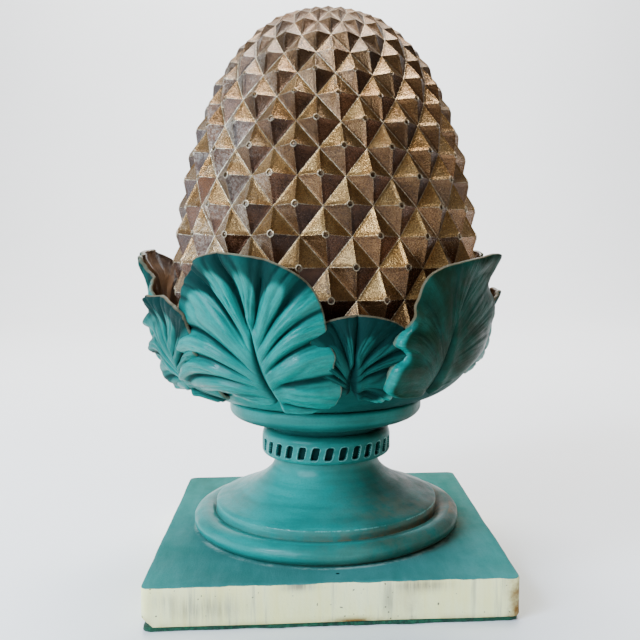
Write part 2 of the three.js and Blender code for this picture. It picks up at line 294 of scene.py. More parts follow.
@dataclass
class NodeSheet:
    """Adds nodes to one tree and joins their sockets."""

    tree: bpy.types.NodeTree

    def add(self, kind: str, inputs: dict | None = None, **settings: object) -> bpy.types.Node:
        """Adds a node, with its settings and inputs.

        Args:
            kind: Node type.
            inputs: Value or socket for each input, by name or number.
            **settings: Properties of the node.

        Returns:
            The node.
        """
        node = self.tree.nodes.new(kind)
        for key, value in settings.items():
            setattr(node, key, value)
        for key, value in (inputs or {}).items():
            self.feed(node.inputs[key], value)
        return node

    def feed(self, socket: bpy.types.NodeSocket, value: object) -> None:
        """Sets an input to a value, or joins it to an output.

        Args:
            socket: The input.
            value: A number, a colour, a vector or an output.
        """
        if isinstance(value, bpy.types.NodeSocket):
            self.tree.links.new(value, socket)
        elif isinstance(value, tuple) and socket.type == "RGBA":
            socket.default_value = (*value[:3], 1.0)
        else:
            socket.default_value = value

    def mix(
        self, share: object, first: object, second: object, way: str = "MIX"
    ) -> bpy.types.NodeSocket:
        """Mixes two colours."""
        inputs = {0: share, 6: first, 7: second}
        return self.add("ShaderNodeMix", inputs, data_type="RGBA", blend_type=way).outputs[2]

    def work(self, way: str, first: object, second: object) -> bpy.types.NodeSocket:
        """Works out one number from two."""
        return self.add("ShaderNodeMath", {0: first, 1: second}, operation=way).outputs[0]

    def plus(self, first: object, second: object) -> bpy.types.NodeSocket:
        """Adds two numbers."""
        return self.work("ADD", first, second)

    def times(self, first: object, second: object) -> bpy.types.NodeSocket:
        """Multiplies two numbers."""
        return self.work("MULTIPLY", first, second)

    def aim(self, way: str, first: object, second: object, output: str) -> bpy.types.NodeSocket:
        """Works out one output of a vector operation."""
        inputs = {0: first, 1: second}
        return self.add("ShaderNodeVectorMath", inputs, operation=way).outputs[output]

    def place(self) -> bpy.types.NodeSocket:
        """Reads the place on the piece, in metres."""
        return self.add("ShaderNodeTexCoord").outputs["Object"]

    def relief(self, shader: bpy.types.Node, height: object, strength: float, depth: float) -> None:
        """Feeds a shader's normal from a height."""
        inputs = {"Height": height, "Strength": strength, "Distance": depth}
        self.feed(shader.inputs["Normal"], self.add("ShaderNodeBump", inputs).outputs[0])

    def ramp(
        self, value: object, start: object, end: object, low: object = 0.0, high: object = 1.0
    ) -> bpy.types.NodeSocket:
        """Goes smoothly from low at start to high at end."""
        inputs = {0: value, 1: start, 2: end, 3: low, 4: high}
        return self.add("ShaderNodeMapRange", inputs, interpolation_type="SMOOTHSTEP").outputs[0]

    def noise(
        self, vector: object, scale: object, detail: float = 3.0, rough: float = 0.55
    ) -> bpy.types.NodeSocket:
        """A cloudy random value."""
        inputs = {"Vector": vector, "Scale": scale, "Detail": detail, "Roughness": rough}
        return self.add("ShaderNodeTexNoise", inputs).outputs[0]

    def stretched(self, vector: object, scale: Triple) -> bpy.types.NodeSocket:
        """Scales a vector by axis."""
        return self.add("ShaderNodeMapping", {"Vector": vector, "Scale": scale}).outputs[0]

    def mark(self, name: str) -> bpy.types.NodeSocket:
        """Reads a value that the mesh carries."""
        return self.add("ShaderNodeAttribute", attribute_name=name).outputs["Fac"]


def started(name: str) -> tuple[bpy.types.Material, NodeSheet, bpy.types.Node]:
    """Starts a material.

    Args:
        name: Name of the material.

    Returns:
        The material, its nodes and its shader.
    """
    material = bpy.data.materials.new(name)
    material.use_nodes = True
    return reopened(material, name)


def reopened(
    material: bpy.types.Material, name: str
) -> tuple[bpy.types.Material, NodeSheet, bpy.types.Node]:
    """Renames a material that is to be added to.

    Args:
        material: The material.
        name: Its new name.

    Returns:
        The material, its nodes and its shader.
    """
    material.name = name
    shader = material.node_tree.nodes["Principled BSDF"]
    return material, NodeSheet(material.node_tree), shader


def sockets(**names: str) -> dict[str, str]:
    """Lists sockets: each keyword is a kind, and its value the names of that kind."""
    return {name: kind for kind, listed in names.items() for name in listed.split()}


class Effect:
    """A shader node group that more than one finish uses, built once."""

    def __init__(self, name: str, inputs: dict[str, str], outputs: dict[str, str]) -> None:
        """Starts the group.

        Args:
            name: Name of the group.
            inputs: Socket kind of each input, by name.
            outputs: Socket kind of each output, by name.
        """
        self.tree = bpy.data.node_groups.new(name, "ShaderNodeTree")
        for way, kinds in (("INPUT", inputs), ("OUTPUT", outputs)):
            for socket, kind in kinds.items():
                self.tree.interface.new_socket(socket, in_out=way, socket_type=f"NodeSocket{kind}")
        self.sheet = NodeSheet(self.tree)
        self.given = self.sheet.add("NodeGroupInput").outputs
        self.result = self.sheet.add("NodeGroupOutput").inputs

    def put(self, name: str, value: bpy.types.NodeSocket) -> None:
        """Joins a value to one of the group's outputs."""
        self.tree.links.new(value, self.result[name])

    def use(self, sheet: NodeSheet, **inputs: object) -> bpy.types.bpy_prop_collection:
        """Places the group in a material.

        Args:
            sheet: The material's nodes.
            **inputs: Value or socket for each input.

        Returns:
            The outputs of the placed group.
        """
        node = sheet.add("ShaderNodeGroup", node_tree=self.tree)
        for key, value in inputs.items():
            sheet.feed(node.inputs[key], value)
        return node.outputs


@dataclass
class Effects:
    """The shared effects of all finishes.

    Attributes:
        drift: Slow drift between two colours, as in hand-brushed paint.
        wear: Rubbed edges, from a distance to the edge in millimetres; on the cone's lit side also
            a painted highlight.
        grime: Settled grime, stains and painted warm shade, laid where a mask says.
        speckle: Fine grains of another colour.
    """

    drift: Effect = field(init=False)
    wear: Effect = field(init=False)
    grime: Effect = field(init=False)
    speckle: Effect = field(init=False)

    def __post_init__(self) -> None:
        """Builds the four groups."""
        self.drift = self.build_drift()
        self.wear = self.build_wear()
        self.grime = self.build_grime()
        self.speckle = self.build_speckle()

    def build_drift(self) -> Effect:
        """Two layers of noise, a slow one for patches and a stretched one for brush strokes.

        Returns:
            The group, with the mixed colour and the height of the strokes.
        """
        inputs = sockets(Color="Dark Light", Vector="Vector Strokes", Float="Scale Contrast")
        effect = Effect("brushed drift", inputs, sockets(Color="Color", Float="Height"))
        sheet, given = effect.sheet, effect.given
        patches = sheet.noise(given["Vector"], given["Scale"], 4.0)
        strokes = sheet.noise(given["Strokes"], 1.0, 4.0, 0.6)
        both = sheet.plus(sheet.times(patches, 0.5), sheet.times(strokes, 0.5))
        around = sheet.times(sheet.ramp(both, 0.36, 0.64, -0.5, 0.5), given["Contrast"])
        share = sheet.plus(around, 0.5)
        effect.put("Color", sheet.mix(share, given["Dark"], given["Light"]))
        effect.put("Height", strokes)
        return effect

    def build_wear(self) -> Effect:
        """A line where the distance is under the width, broken up by noise.

        Returns:
            The group, with the mixed colour and the mask.
        """
        inputs = sockets(Color="Color Bare", Float="Distance Width Strength", Vector="Vector")
        effect = Effect("rubbed edge", inputs, sockets(Color="Color", Float="Mask"))
        sheet, given = effect.sheet, effect.given
        uneven = sheet.ramp(sheet.noise(given["Vector"], 260.0, 4.0, 0.65), 0.3, 0.7, -0.7, 0.6)
        reach = sheet.plus(given["Width"], sheet.times(uneven, given["Width"]))
        share = sheet.work("DIVIDE", given["Distance"], sheet.work("MAXIMUM", reach, 0.01))
        near = sheet.ramp(share, 1.0, 0.35)
        mask = sheet.times(near, given["Strength"])
        effect.put("Color", sheet.mix(mask, given["Color"], given["Bare"]))
        effect.put("Mask", mask)
        return effect

    def build_grime(self) -> Effect:
        """Grime, stains and painted warm shade over a colour where the mask and a cloudy noise
        meet.

        Returns:
            The group, with the mixed colour and the mask.
        """
        inputs = sockets(Color="Color Dirt", Float="Mask Scale", Vector="Vector")
        effect = Effect("settled grime", inputs, sockets(Color="Color", Float="Mask"))
        sheet, given = effect.sheet, effect.given
        cloud = sheet.noise(given["Vector"], given["Scale"], 5.0, 0.65)
        cloud = sheet.ramp(cloud, 0.32, 0.62, 0.25, 1.0)
        mask = sheet.times(given["Mask"], cloud)
        effect.put("Color", sheet.mix(mask, given["Color"], given["Dirt"]))
        effect.put("Mask", mask)
        return effect

    def build_speckle(self) -> Effect:
        """Grains from a fine noise that is cut off sharply.

        Returns:
            The group, with the mixed colour and the height of the grains.
        """
        inputs = sockets(Color="Color Grain", Vector="Vector", Float="Scale Amount")
        effect = Effect("fine speckle", inputs, sockets(Color="Color", Float="Height"))
        sheet, given = effect.sheet, effect.given
        fine = sheet.noise(given["Vector"], given["Scale"], 2.0, 0.7)
        cut = sheet.ramp(fine, 0.47, 0.62)
        mask = sheet.times(cut, given["Amount"])
        effect.put("Color", sheet.mix(mask, given["Color"], given["Grain"]))
        effect.put("Height", fine)
        return effect


class Flow(Enum):
    """Which way the brush went on a painted piece."""

    LEAF = "along the folds"
    ROUND = "round the axis"
    FLAT = "across the slab"

    @property
    def contrast(self) -> float:
        """How strongly the strokes differ in tone."""
        return {Flow.LEAF: 0.65, Flow.ROUND: 0.55, Flow.FLAT: 0.6}[self]

    @property
    def gloss(self) -> float:
        """Share of clear coat that is left on the paint."""
        return {Flow.LEAF: 0.22, Flow.ROUND: 0.2, Flow.FLAT: 0.0}[self]


@dataclass(frozen=True)
class TealPaint:
    """Satin teal paint with painted shade in its hollows and pale rubbed edges."""

    light: Colour = shade(4, 138, 127)
    middle: Colour = shade(0, 96, 87)
    # The colour of the painted shade in creases, slots, throats and under parts.
    deep: Colour = shade(0, 32, 30)
    # A dark green over the teal: part glazing on the leaves, part painted shade on sides turned
    # from the light.
    olive_glaze_and_shade: Colour = shade(14, 38, 22)
    chalk: Colour = shade(104, 158, 156)
    bare: Colour = shade(126, 188, 178)
    # Brown for grime, and for the painted warm shade on the right of the socle.
    dirt: Colour = shade(110, 96, 70)
    roughness: float = 0.36
    rub: float = 0.45

    def strokes(self, sheet: NodeSheet, flow: Flow) -> bpy.types.NodeSocket:
        """Finds the vector that brush strokes follow.

        Args:
            sheet: The material's nodes.
            flow: Which way the brush went.

        Returns:
            The stretched vector.
        """
        if flow is Flow.LEAF:
            flat = sheet.add("ShaderNodeUVMap", uv_map="Flow").outputs[0]
            return sheet.stretched(flat, (11.0, 1.3, 1.0))
        scale = (16.0, 16.0, 240.0) if flow is Flow.ROUND else (120.0, 26.0, 60.0)
        return sheet.stretched(sheet.place(), scale)

    def build(self, effects: Effects, flow: Flow) -> bpy.types.Material:
        """Builds the material.

        Args:
            effects: The shared effects.
            flow: Which way the brush went.

        Returns:
            The material.
        """
        material, sheet, shader = started(f"teal paint {flow.value}")
        place = sheet.place()
        strokes = self.strokes(sheet, flow)
        drift = effects.drift.use(
            sheet, Dark=self.middle, Light=self.light,
            Vector=place, Strokes=strokes, Scale=26.0, Contrast=flow.contrast,
        )
        streaks = sheet.ramp(drift["Height"], 0.58, 0.76, 0.0, 0.2)
        patches = sheet.ramp(sheet.noise(place, 34.0, 4.0, 0.6), 0.5, 0.68)
        chalky = sheet.mix(sheet.times(streaks, patches), drift["Color"], self.chalk)
        flecks = effects.speckle.use(
            sheet, Color=chalky, Grain=self.middle, Vector=place, Scale=620.0, Amount=0.2
        )
        cloudy = sheet.ramp(sheet.noise(place, 60.0, 4.0), 0.3, 0.7, 0.8, 1.0)
        # Dark green: part glazing, part painted shade where less light falls.
        green = sheet.times(sheet.mark("olive_glaze_and_shade"), cloudy)
        greened = sheet.mix(green, flecks["Color"], self.olive_glaze_and_shade)
        # Painted shade: the hollow mark darkens creases, slots and the parts that lie under others.
        painted_shade = sheet.ramp(sheet.mark("painted_shade"), 0.05, 1.0)
        shaded_paint = sheet.mix(sheet.times(painted_shade, 0.95), greened, self.deep)
        # Grime, and a painted warm shade on the right of the socle, laid by its mark.
        dirtied_and_shaded = effects.grime.use(
            sheet, Color=shaded_paint, Dirt=self.dirt, Mask=sheet.mark("dirt"), Vector=place, Scale=90.0
        )
        worn = effects.wear.use(
            sheet, Color=dirtied_and_shaded["Color"], Bare=self.bare,
            Distance=sheet.mark("edge"), Width=0.8, Vector=place, Strength=self.rub,
        )
        sheet.feed(shader.inputs["Base Color"], worn["Color"])
        polish = sheet.noise(place, 48.0, 4.0, 0.6)
        dull = self.roughness + (0.3 if flow is Flow.FLAT else 0.04)
        rough = sheet.ramp(polish, 0.3, 0.7, dull - 0.1, dull + 0.14)
        sheet.feed(shader.inputs["Roughness"], sheet.plus(rough, sheet.times(painted_shade, 0.3)))
        open_part = sheet.ramp(sheet.plus(painted_shade, green), 0.1, 0.7, flow.gloss, 0.0)
        sheet.feed(shader.inputs["Coat Weight"], open_part)
        bumps = sheet.plus(drift["Height"], sheet.times(flecks["Height"], 0.35))
        sheet.relief(shader, bumps, 0.5, 0.0011)
        shader.inputs["Specular IOR Level"].default_value = 0.03 if flow is Flow.FLAT else 0.08
        shader.inputs["Coat Roughness"].default_value = 0.15
        return material


@dataclass(frozen=True)
class BronzePaint:
    """Bronze paint: painted light as gold dust on the faces that look up, painted shade under them,
    rubbed edges.
    """

    # gold and pale: the lit copy of the paint; brown and umber: its painted-shade copy.
    gold: Colour = shade(149, 107, 55)
    pale: Colour = shade(174, 137, 84)
    brown: Colour = shade(90, 56, 34)
    umber: Colour = shade(50, 31, 22)
    grain: Colour = shade(78, 52, 28)
    bare: Colour = shade(222, 210, 178)
    # Colour of the painted shade inside the pits.
    hole: Colour = shade(58, 42, 30)
    # Colour of the painted glints on the lit left side.
    glint_silver: Colour = shade(234, 228, 212)
    metallic: float = 0.78

    def build(self, effects: Effects) -> bpy.types.Material:
        """Builds the material.

        Args:
            effects: The shared effects.

        Returns:
            The material.
        """
        material, sheet, shader = started("bronze paint")
        place = sheet.place()
        strokes = sheet.stretched(place, (60.0, 60.0, 60.0))
        lit_face = effects.drift.use(
            sheet, Dark=self.gold, Light=self.pale,
            Vector=place, Strokes=strokes, Scale=30.0, Contrast=1.0,
        )
        dusted = effects.speckle.use(
            sheet, Color=lit_face["Color"], Grain=self.grain, Vector=place, Scale=900.0, Amount=0.75
        )
        # The painted-shade copy, for the faces that look down.
        lower = effects.drift.use(
            sheet, Dark=self.umber, Light=self.brown,
            Vector=place, Strokes=strokes, Scale=36.0, Contrast=1.0,
        )
        flecked = effects.speckle.use(
            sheet, Color=lower["Color"], Grain=self.grain, Vector=place, Scale=760.0, Amount=0.45
        )
        # Painted light: each face mixes the lit and the shaded copy by its upper mark.
        facet = sheet.mix(sheet.mark("lit_face"), flecked["Color"], dusted["Color"])
        # Painted shadow on the lowest rings of the cone, where the leaves shade it.
        shaded = sheet.mix(sheet.times(sheet.mark("low"), 0.62), facet, self.brown)
        tone = sheet.ramp(sheet.mark("tone"), 0.0, 1.0, 0.54, 1.36)
        colour = sheet.mix(1.0, shaded, tone, "MULTIPLY")
        # Rubbed lines on ridges and valleys: wear, drawn stronger on the lit left side as a painted
        # highlight.
        for line, width, least, most in (("ridge", 0.42, 0.25, 0.75), ("valley", 0.45, 0.3, 0.8)):
            strength = sheet.ramp(sheet.mark("highlight_side"), 0.0, 1.0, least, most)
            colour = effects.wear.use(
                sheet, Color=colour, Bare=self.bare,
                Distance=sheet.mark(line), Width=width, Vector=place, Strength=strength,
            )["Color"]
        lipped = sheet.mix(sheet.times(sheet.mark("lip"), 0.4), colour, self.bare)
        # Painted shade inside the pits.
        pitted = sheet.mix(sheet.times(sheet.mark("pit"), 0.8), lipped, self.hole)
        # Painted glints: silvery patches on some faces of the lit left side.
        grains = sheet.ramp(sheet.noise(place, 520.0, 3.0, 0.7), 0.4, 0.58, 0.1, 0.85)
        clouds = sheet.ramp(sheet.noise(place, 60.0, 3.0), 0.4, 0.56)
        glint_patch = sheet.times(sheet.mark("painted_glint"), sheet.times(grains, clouds))
        glinted = sheet.mix(sheet.times(glint_patch, sheet.mark("highlight_side")), pitted, self.glint_silver)
        sheet.feed(shader.inputs["Base Color"], glinted)
        polish = sheet.ramp(dusted["Height"], 0.35, 0.65, 0.2, 0.38)
        varied = sheet.ramp(sheet.mark("tone"), 0.0, 1.0, 0.08, -0.05)
        height = sheet.add("ShaderNodeSeparateXYZ", {0: place}).outputs["Z"]
        crown = sheet.ramp(height, 0.4, 0.43, 0.0, 0.32)
        rough = sheet.plus(sheet.plus(polish, varied), crown)
        sheet.feed(shader.inputs["Roughness"], rough)
        shader.inputs["Metallic"].default_value = self.metallic
        crest = sheet.ramp(sheet.mark("ridge"), 3.2, 0.0, 0.0, 1.3)
        seam = sheet.ramp(sheet.mark("valley"), 2.0, 0.0, 0.0, 0.9)
        worked = sheet.plus(dusted["Height"], sheet.noise(place, 120.0, 3.0))
        bumps = sheet.plus(worked, sheet.plus(crest, seam))
        sheet.relief(shader, bumps, 0.5, 0.0009)
        glossy = sheet.ramp(sheet.mark("highlight_side"), 0.0, 1.0, 0.1, 0.3)
        coat = sheet.times(glossy, sheet.ramp(height, 0.39, 0.42, 1.0, 0.0))
        sheet.feed(shader.inputs["Coat Weight"], coat)
        shader.inputs["Coat Roughness"].default_value = 0.12
        return material


@dataclass(frozen=True)
class LeafFinish:
    """Teal paint outside, bronze paint inside and a rubbed coppery rim between them."""

    teal: TealPaint = TealPaint()
    bronze: Colour = shade(120, 88, 60)
    dark: Colour = shade(54, 38, 29)
    copper: Colour = shade(118, 101, 76)

    def build(self, effects: Effects) -> bpy.types.Material:
        """Builds the material: the teal one, with the inner face and the rim laid over it.

        Args:
            effects: The shared effects.

        Returns:
            The material.
        """
        painted = self.teal.build(effects, Flow.LEAF)
        material, sheet, shader = reopened(painted, "leaf paint")
        teal = shader.inputs["Base Color"].links[0].from_socket
        place = sheet.place()
        strokes = sheet.stretched(place, (40.0, 40.0, 40.0))
        inner = effects.drift.use(
            sheet, Dark=self.dark, Light=self.bronze,
            Vector=place, Strokes=strokes, Scale=30.0, Contrast=1.0,
        )
        both = sheet.mix(sheet.mark("inner"), teal, inner["Color"])
        rim = effects.wear.use(
            sheet, Color=both, Bare=self.copper,
            Distance=sheet.mark("rim"), Width=0.35, Vector=place, Strength=0.42,
        )
        sheet.feed(shader.inputs["Base Color"], rim["Color"])
        coat = shader.inputs["Coat Weight"].links[0].from_socket
        coat = sheet.ramp(sheet.mark("inner"), 0.0, 1.0, coat, 0.6)
        sheet.feed(shader.inputs["Coat Weight"], coat)
        return material


@dataclass(frozen=True)
class CreamGround:
    """Bare cream ground under the paint, with drips, specks and brown stains."""

    cream: Colour = shade(255, 255, 196)
    warm: Colour = shade(252, 245, 168)
    stain: Colour = shade(130, 94, 50)
    smudge: Colour = shade(98, 88, 90)
    soot: Colour = shade(52, 44, 38)
    paint: TealPaint = TealPaint(light=shade(72, 141, 135), middle=shade(43, 120, 112))
    halo: Colour = shade(168, 196, 182)
    # Place of a small hole in the slab top, which the mesh lacks; its painted shade is drawn there.
    hole: Triple = (0.004, -0.1125, 0.031)

    def build(self, effects: Effects) -> bpy.types.Material:
        """Builds the slab's material: teal on top, and ground on its sides.

        Args:
            effects: The shared effects.

        Returns:
            The material.
        """
        painted = self.paint.build(effects, Flow.FLAT)
        material, sheet, shader = reopened(painted, "painted slab")
        teal = shader.inputs["Base Color"].links[0].from_socket
        place = sheet.place()
        drips = sheet.stretched(place, (170.0, 170.0, 9.0))
        ground = effects.drift.use(
            sheet, Dark=self.warm, Light=self.cream,
            Vector=place, Strokes=drips, Scale=22.0, Contrast=1.0,
        )
        stained = effects.grime.use(
            sheet, Color=ground["Color"], Dirt=self.stain,
            Mask=sheet.mark("stain"), Vector=place, Scale=60.0,
        )
        smudged = effects.grime.use(
            sheet, Color=stained["Color"], Dirt=self.smudge,
            Mask=sheet.mark("smudge"), Vector=drips, Scale=1.7,
        )
        streaks = sheet.ramp(sheet.noise(drips, 1.0, 4.0, 0.65), 0.54, 0.72, 0.0, 0.42)
        streaked = sheet.mix(streaks, smudged["Color"], self.smudge)
        specks = sheet.ramp(sheet.noise(place, 330.0, 1.0), 0.71, 0.76, 0.0, 0.85)
        specked = sheet.mix(specks, streaked, self.soot)
        ragged = sheet.ramp(sheet.noise(place, 75.0, 4.0), 0.3, 0.7, -0.35, 0.35)
        side = sheet.ramp(sheet.plus(sheet.mark("side"), ragged), 0.35, 0.5)
        away = sheet.aim("DISTANCE", place, self.hole, "Value")
        level = sheet.aim("MULTIPLY", place, (1.0, 1.0, 0.0), "Vector")
        reach = sheet.aim("LENGTH", level, (0.0, 0.0, 0.0), "Value")
        start, end = sheet.ramp(reach, 0.1015, 0.1035), sheet.ramp(reach, 0.1075, 0.1040)
        ring = sheet.times(start, end)
        broken = sheet.ramp(sheet.noise(place, 55.0, 4.0, 0.7), 0.42, 0.62, 0.05, 0.6)
        haloed = sheet.mix(sheet.times(ring, broken), teal, self.halo)
        # Painted shade of the small hole.
        pitted = sheet.mix(sheet.ramp(away, 0.0017, 0.0009), haloed, self.paint.deep)
        sheet.feed(shader.inputs["Base Color"], sheet.mix(side, pitted, specked))
        return material


@dataclass(frozen=True)
class GreenFelt:
    """Thin green felt: matt, fibrous and slightly mottled."""

    dark: Colour = shade(3, 46, 31)
    light: Colour = shade(10, 84, 57)

    def build(self, effects: Effects) -> bpy.types.Material:
        """Builds the material.

        Args:
            effects: The shared effects.

        Returns:
            The material.
        """
        material, sheet, shader = started("green felt")
        place = sheet.place()
        fibres = sheet.stretched(place, (700.0, 700.0, 300.0))
        colour = effects.drift.use(
            sheet, Dark=self.dark, Light=self.light,
            Vector=place, Strokes=fibres, Scale=220.0, Contrast=1.0,
        )
        sheet.feed(shader.inputs["Base Color"], colour["Color"])
        shader.inputs["Roughness"].default_value = 0.95
        shader.inputs["Sheen Weight"].default_value = 0.15
        sheet.relief(shader, colour["Height"], 0.6, 0.0006)
        return material


@dataclass
class Finishes:
    """The materials, one of each, built when the scene is made."""

    effects: Effects = field(default_factory=Effects)

    def __post_init__(self) -> None:
        """Builds every material."""
        turned = TealPaint(light=shade(26, 156, 146), middle=shade(10, 108, 99))
        self.turned_teal = turned.build(self.effects, Flow.ROUND)
        self.leaf = LeafFinish().build(self.effects)
        self.bronze = BronzePaint().build(self.effects)
        self.slab = CreamGround().build(self.effects)
        self.felt = GreenFelt().build(self.effects)


def settle(piece: bpy.types.Object, material: bpy.types.Material, node: str) -> None:
    """Gives a piece its finish, its body and the node that it stands for.

    Args:
        piece: The piece.
        material: Its finish.
        node: The node that it replaces.
    """
    piece.data.materials.append(material)
    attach(piece, "root")
    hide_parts(node)
    LOG.info("%s: %d triangles", piece.name, len(piece.data.polygons))


@dataclass
class Heights:
    """Levels that more than one piece shares, in millimetres."""

    plinth_bottom: float = 3.0
    plinth_top: float = 31.0
    band_top: float = 52.4
    neck_bottom: float = 83.4
    ring_bottom: float = 87.4
    ring_top: float = 109.9
    step_top: float = 112.9
    rim_bottom: float = 126.6
    dish_top: float = 133.6


@dataclass
class Builder:
    """Builds pieces of the finial.

    Attributes:
        levels: Levels that more than one piece shares.
        finishes: The materials.
    """

    levels: Heights
    finishes: Finishes


@dataclass
class Plinth(Builder):
    """The square slab and the felt under it.

    Attributes:
        width: Side of the slab.
        corner: Radius of its upright corners.
        edge: Size of the rounding along its top and bottom.
        felt_inset: How far the felt stays inside the slab.
        chip: How far the chipped corner is cut back.
        foot_edge: Radius at which the brown round the foot starts to fade.
        columns: Points round it.
        smudges: Smudges on the front: place across, height, half width, half height, share.
    """

    width: float = 254.0
    corner: float = 5.0
    edge: float = 1.4
    felt_inset: float = 0.9
    chip: float = 5.5
    foot_edge: float = 103.0
    columns: int = 480
    smudges: tuple[tuple[float, ...], ...] = (
        (-86, 15, 26, 9, 0.65),
        (-22, 29, 12, 3, 0.85),
        (60, 27, 17, 4, 0.85),
        (38, 17, 5, 10, 0.5),
        (-112, 22, 7, 5, 0.4),
    )

    def outline(self, width: float) -> Array:
        """Points round a square with rounded corners, evenly spaced along it.

        Args:
            width: Side of the square.

        Returns:
            One x and y per point.
        """
        flat = width / 2 - self.corner
        turns = np.radians(np.arange(0, 91, 7.5))
        bend = self.corner * np.stack([np.cos(turns), np.sin(turns)], -1) + flat
        quarter = [bend, bend[::-1] * (-1, 1), -bend, bend[::-1] * (1, -1)]
        loop = np.concatenate([*quarter, bend[:1]])
        steps = np.linalg.norm(np.diff(loop, axis=0), axis=1)
        run = np.concatenate([[0.0], np.cumsum(steps)])
        where = np.linspace(0, run[-1], self.columns, endpoint=False)
        return np.stack([np.interp(where, run, loop[:, 0]), np.interp(where, run, loop[:, 1])], -1)

    def slab(self, levels: Array, insets: Array, width: float) -> Surface:
        """Stacks shrunken outlines at their levels, from the middle below to the middle above.

        Args:
            levels: Height of each outline.
            insets: How far each is inside the full one.
            width: Side of the full outline.

        Returns:
            The closed surface.
        """
        outline = self.outline(width)
        shrink = 1 - insets[:, None, None] / (width / 2)
        flat = outline[None] * shrink
        height = np.broadcast_to(levels[:, None, None], (*flat.shape[:2], 1))
        points = np.concatenate([flat, height], -1).reshape(-1, 3)
        return Surface(points, grid_triangles(len(levels), self.columns, closed=True))

    def build(self) -> None:
        """Builds the slab, with uneven faces and a chipped corner, and the felt."""
        half, edge = self.width / 2, self.edge
        low, high = self.levels.plinth_bottom, self.levels.plinth_top
        bevel = edge * 0.3
        side = np.linspace(low + edge, high - edge, 14)
        top = np.linspace(edge, half, 40)
        over = np.full(len(top), high)
        levels = np.concatenate([[low, low, low + bevel], side, [high - bevel], over])
        insets = np.concatenate([[half, edge, bevel], np.zeros(len(side)), [bevel], top])
        slab = self.slab(levels, insets, self.width)
        points = slab.points
        outwards = unit(points * (1, 1, 0))
        wave = ripple(points, 90, 5) * 0.35 + ripple(points, 22, 6) * 0.12
        on_side = np.abs(points[:, :2]).max(axis=1) > half - 3
        points += outwards * (wave * on_side)[:, None]
        points[:, 2] += np.where(points[:, 2] > high - 0.01, ripple(points, 60, 7) * 0.12, 0)
        self.break_corner(points, (-half, -half, low), (-0.62, -0.34, -0.71))
        stain, smudge = self.stains(points)
        slab.marks = {
            "side": rise(high - points[:, 2], 0.3, 1.5),
            "stain": stain,
            "smudge": smudge,
            "painted_shade": np.zeros(len(points)),
            "edge": np.full(len(points), FAR),
            "olive_glaze_and_shade": self.shade_of_top(points),
            "dirt": self.brown_round_foot(points),
        }
        settle(slab.make("plinth_slab"), self.finishes.slab, CASTING)
        self.build_felt()

    def stains(self, points: Array) -> tuple[Array, Array]:
        """Brown stains and grey smudges: those of the front, and clouds on the other sides.

        Args:
            points: Places on the slab.

        Returns:
            Share of stain and share of smudge.
        """
        x, y, z = points.T
        half = self.width / 2
        front = rise(-y, half - 8, half - 2)
        foot = rise(-z, -8, -3.5) * (0.35 + 0.8 * bell(x - 12, 26))
        corner = rise(x, half - 14, half - 1) * 1.2
        corner += rise(-x, half - 10, half) * rise(-z, -15, -6) * 0.7
        drip = bell(x - 52, 8) * 0.3
        elsewhere = rise(ripple(points, 80, 41), 0.15, 0.8) * 0.4 + rise(-z, -8, -3.5) * 0.3
        stain = (foot + corner + drip) * front + elsewhere * (1 - front)
        smudge = np.zeros(len(points))
        for across, up, wide, high, share in self.smudges:
            smudge += share * np.exp(-(((x - across) / wide) ** 2) - ((z - up) / high) ** 2)
        smudge = smudge * front + rise(ripple(points, 46, 43), 0.2, 0.9) * 0.4 * (1 - front)
        return np.clip(stain, 0, 1), np.clip(smudge, 0, 1)

    def shade_of_top(self, points: Array) -> Array:
        """Share of painted shade on the slab top: slowly more to the left and to the back."""
        left, back = rise(-points[:, 0], -90, 110), rise(points[:, 1], 20, 120)
        return 0.1 + 0.14 * left + 0.3 * back + 0.06 * ripple(points, 50, 44)

    def brown_round_foot(self, points: Array) -> Array:
        """Brown on the slab round the foot: it fades over 16 mm, and is strongest at the right."""
        reach = np.hypot(points[:, 0], points[:, 1])
        right = 0.06 + 0.94 * rise(points[:, 0] / np.maximum(reach, 1), 0.3, 0.95)
        return np.exp(-np.maximum(reach - self.foot_edge, 0) / 6) * right * 0.8

    def break_corner(self, points: Array, corner: Triple, way: Triple) -> None:
        """Cuts a corner back: points past a plane near it are moved onto the plane.

        Args:
            points: Places, changed in place.
            corner: The corner.
            way: Direction in which the corner points out.
        """
        normal = unit(np.array(way))
        beyond = (points - np.array(corner)) @ normal + self.chip
        beyond += ripple(points, 7, 3) * 0.5
        points -= np.maximum(beyond, 0)[:, None] * normal

    def build_felt(self) -> None:
        """Builds the felt: a thin sheet whose cut edge wanders a little."""
        width = self.width - 2 * self.felt_inset
        half = width / 2
        levels = np.array([0.0, 0.0, 0.5, 1.5, 2.6, 3.0, 3.0])
        insets = np.array([half, 0.7, 0.15, 0.0, 0.2, 0.8, half])
        felt = self.slab(levels, insets, width)
        rim = np.abs(felt.points[:, :2]).max(axis=1) > half - 6
        wander = ripple(felt.points * (1, 1, 0), 34, 11) * 0.7 + ripple(felt.points, 5, 12) * 0.25
        felt.points += unit(felt.points * (1, 1, 0)) * (wander * rim)[:, None]
        settle(felt.make("felt_sheet"), self.finishes.felt, FELT)


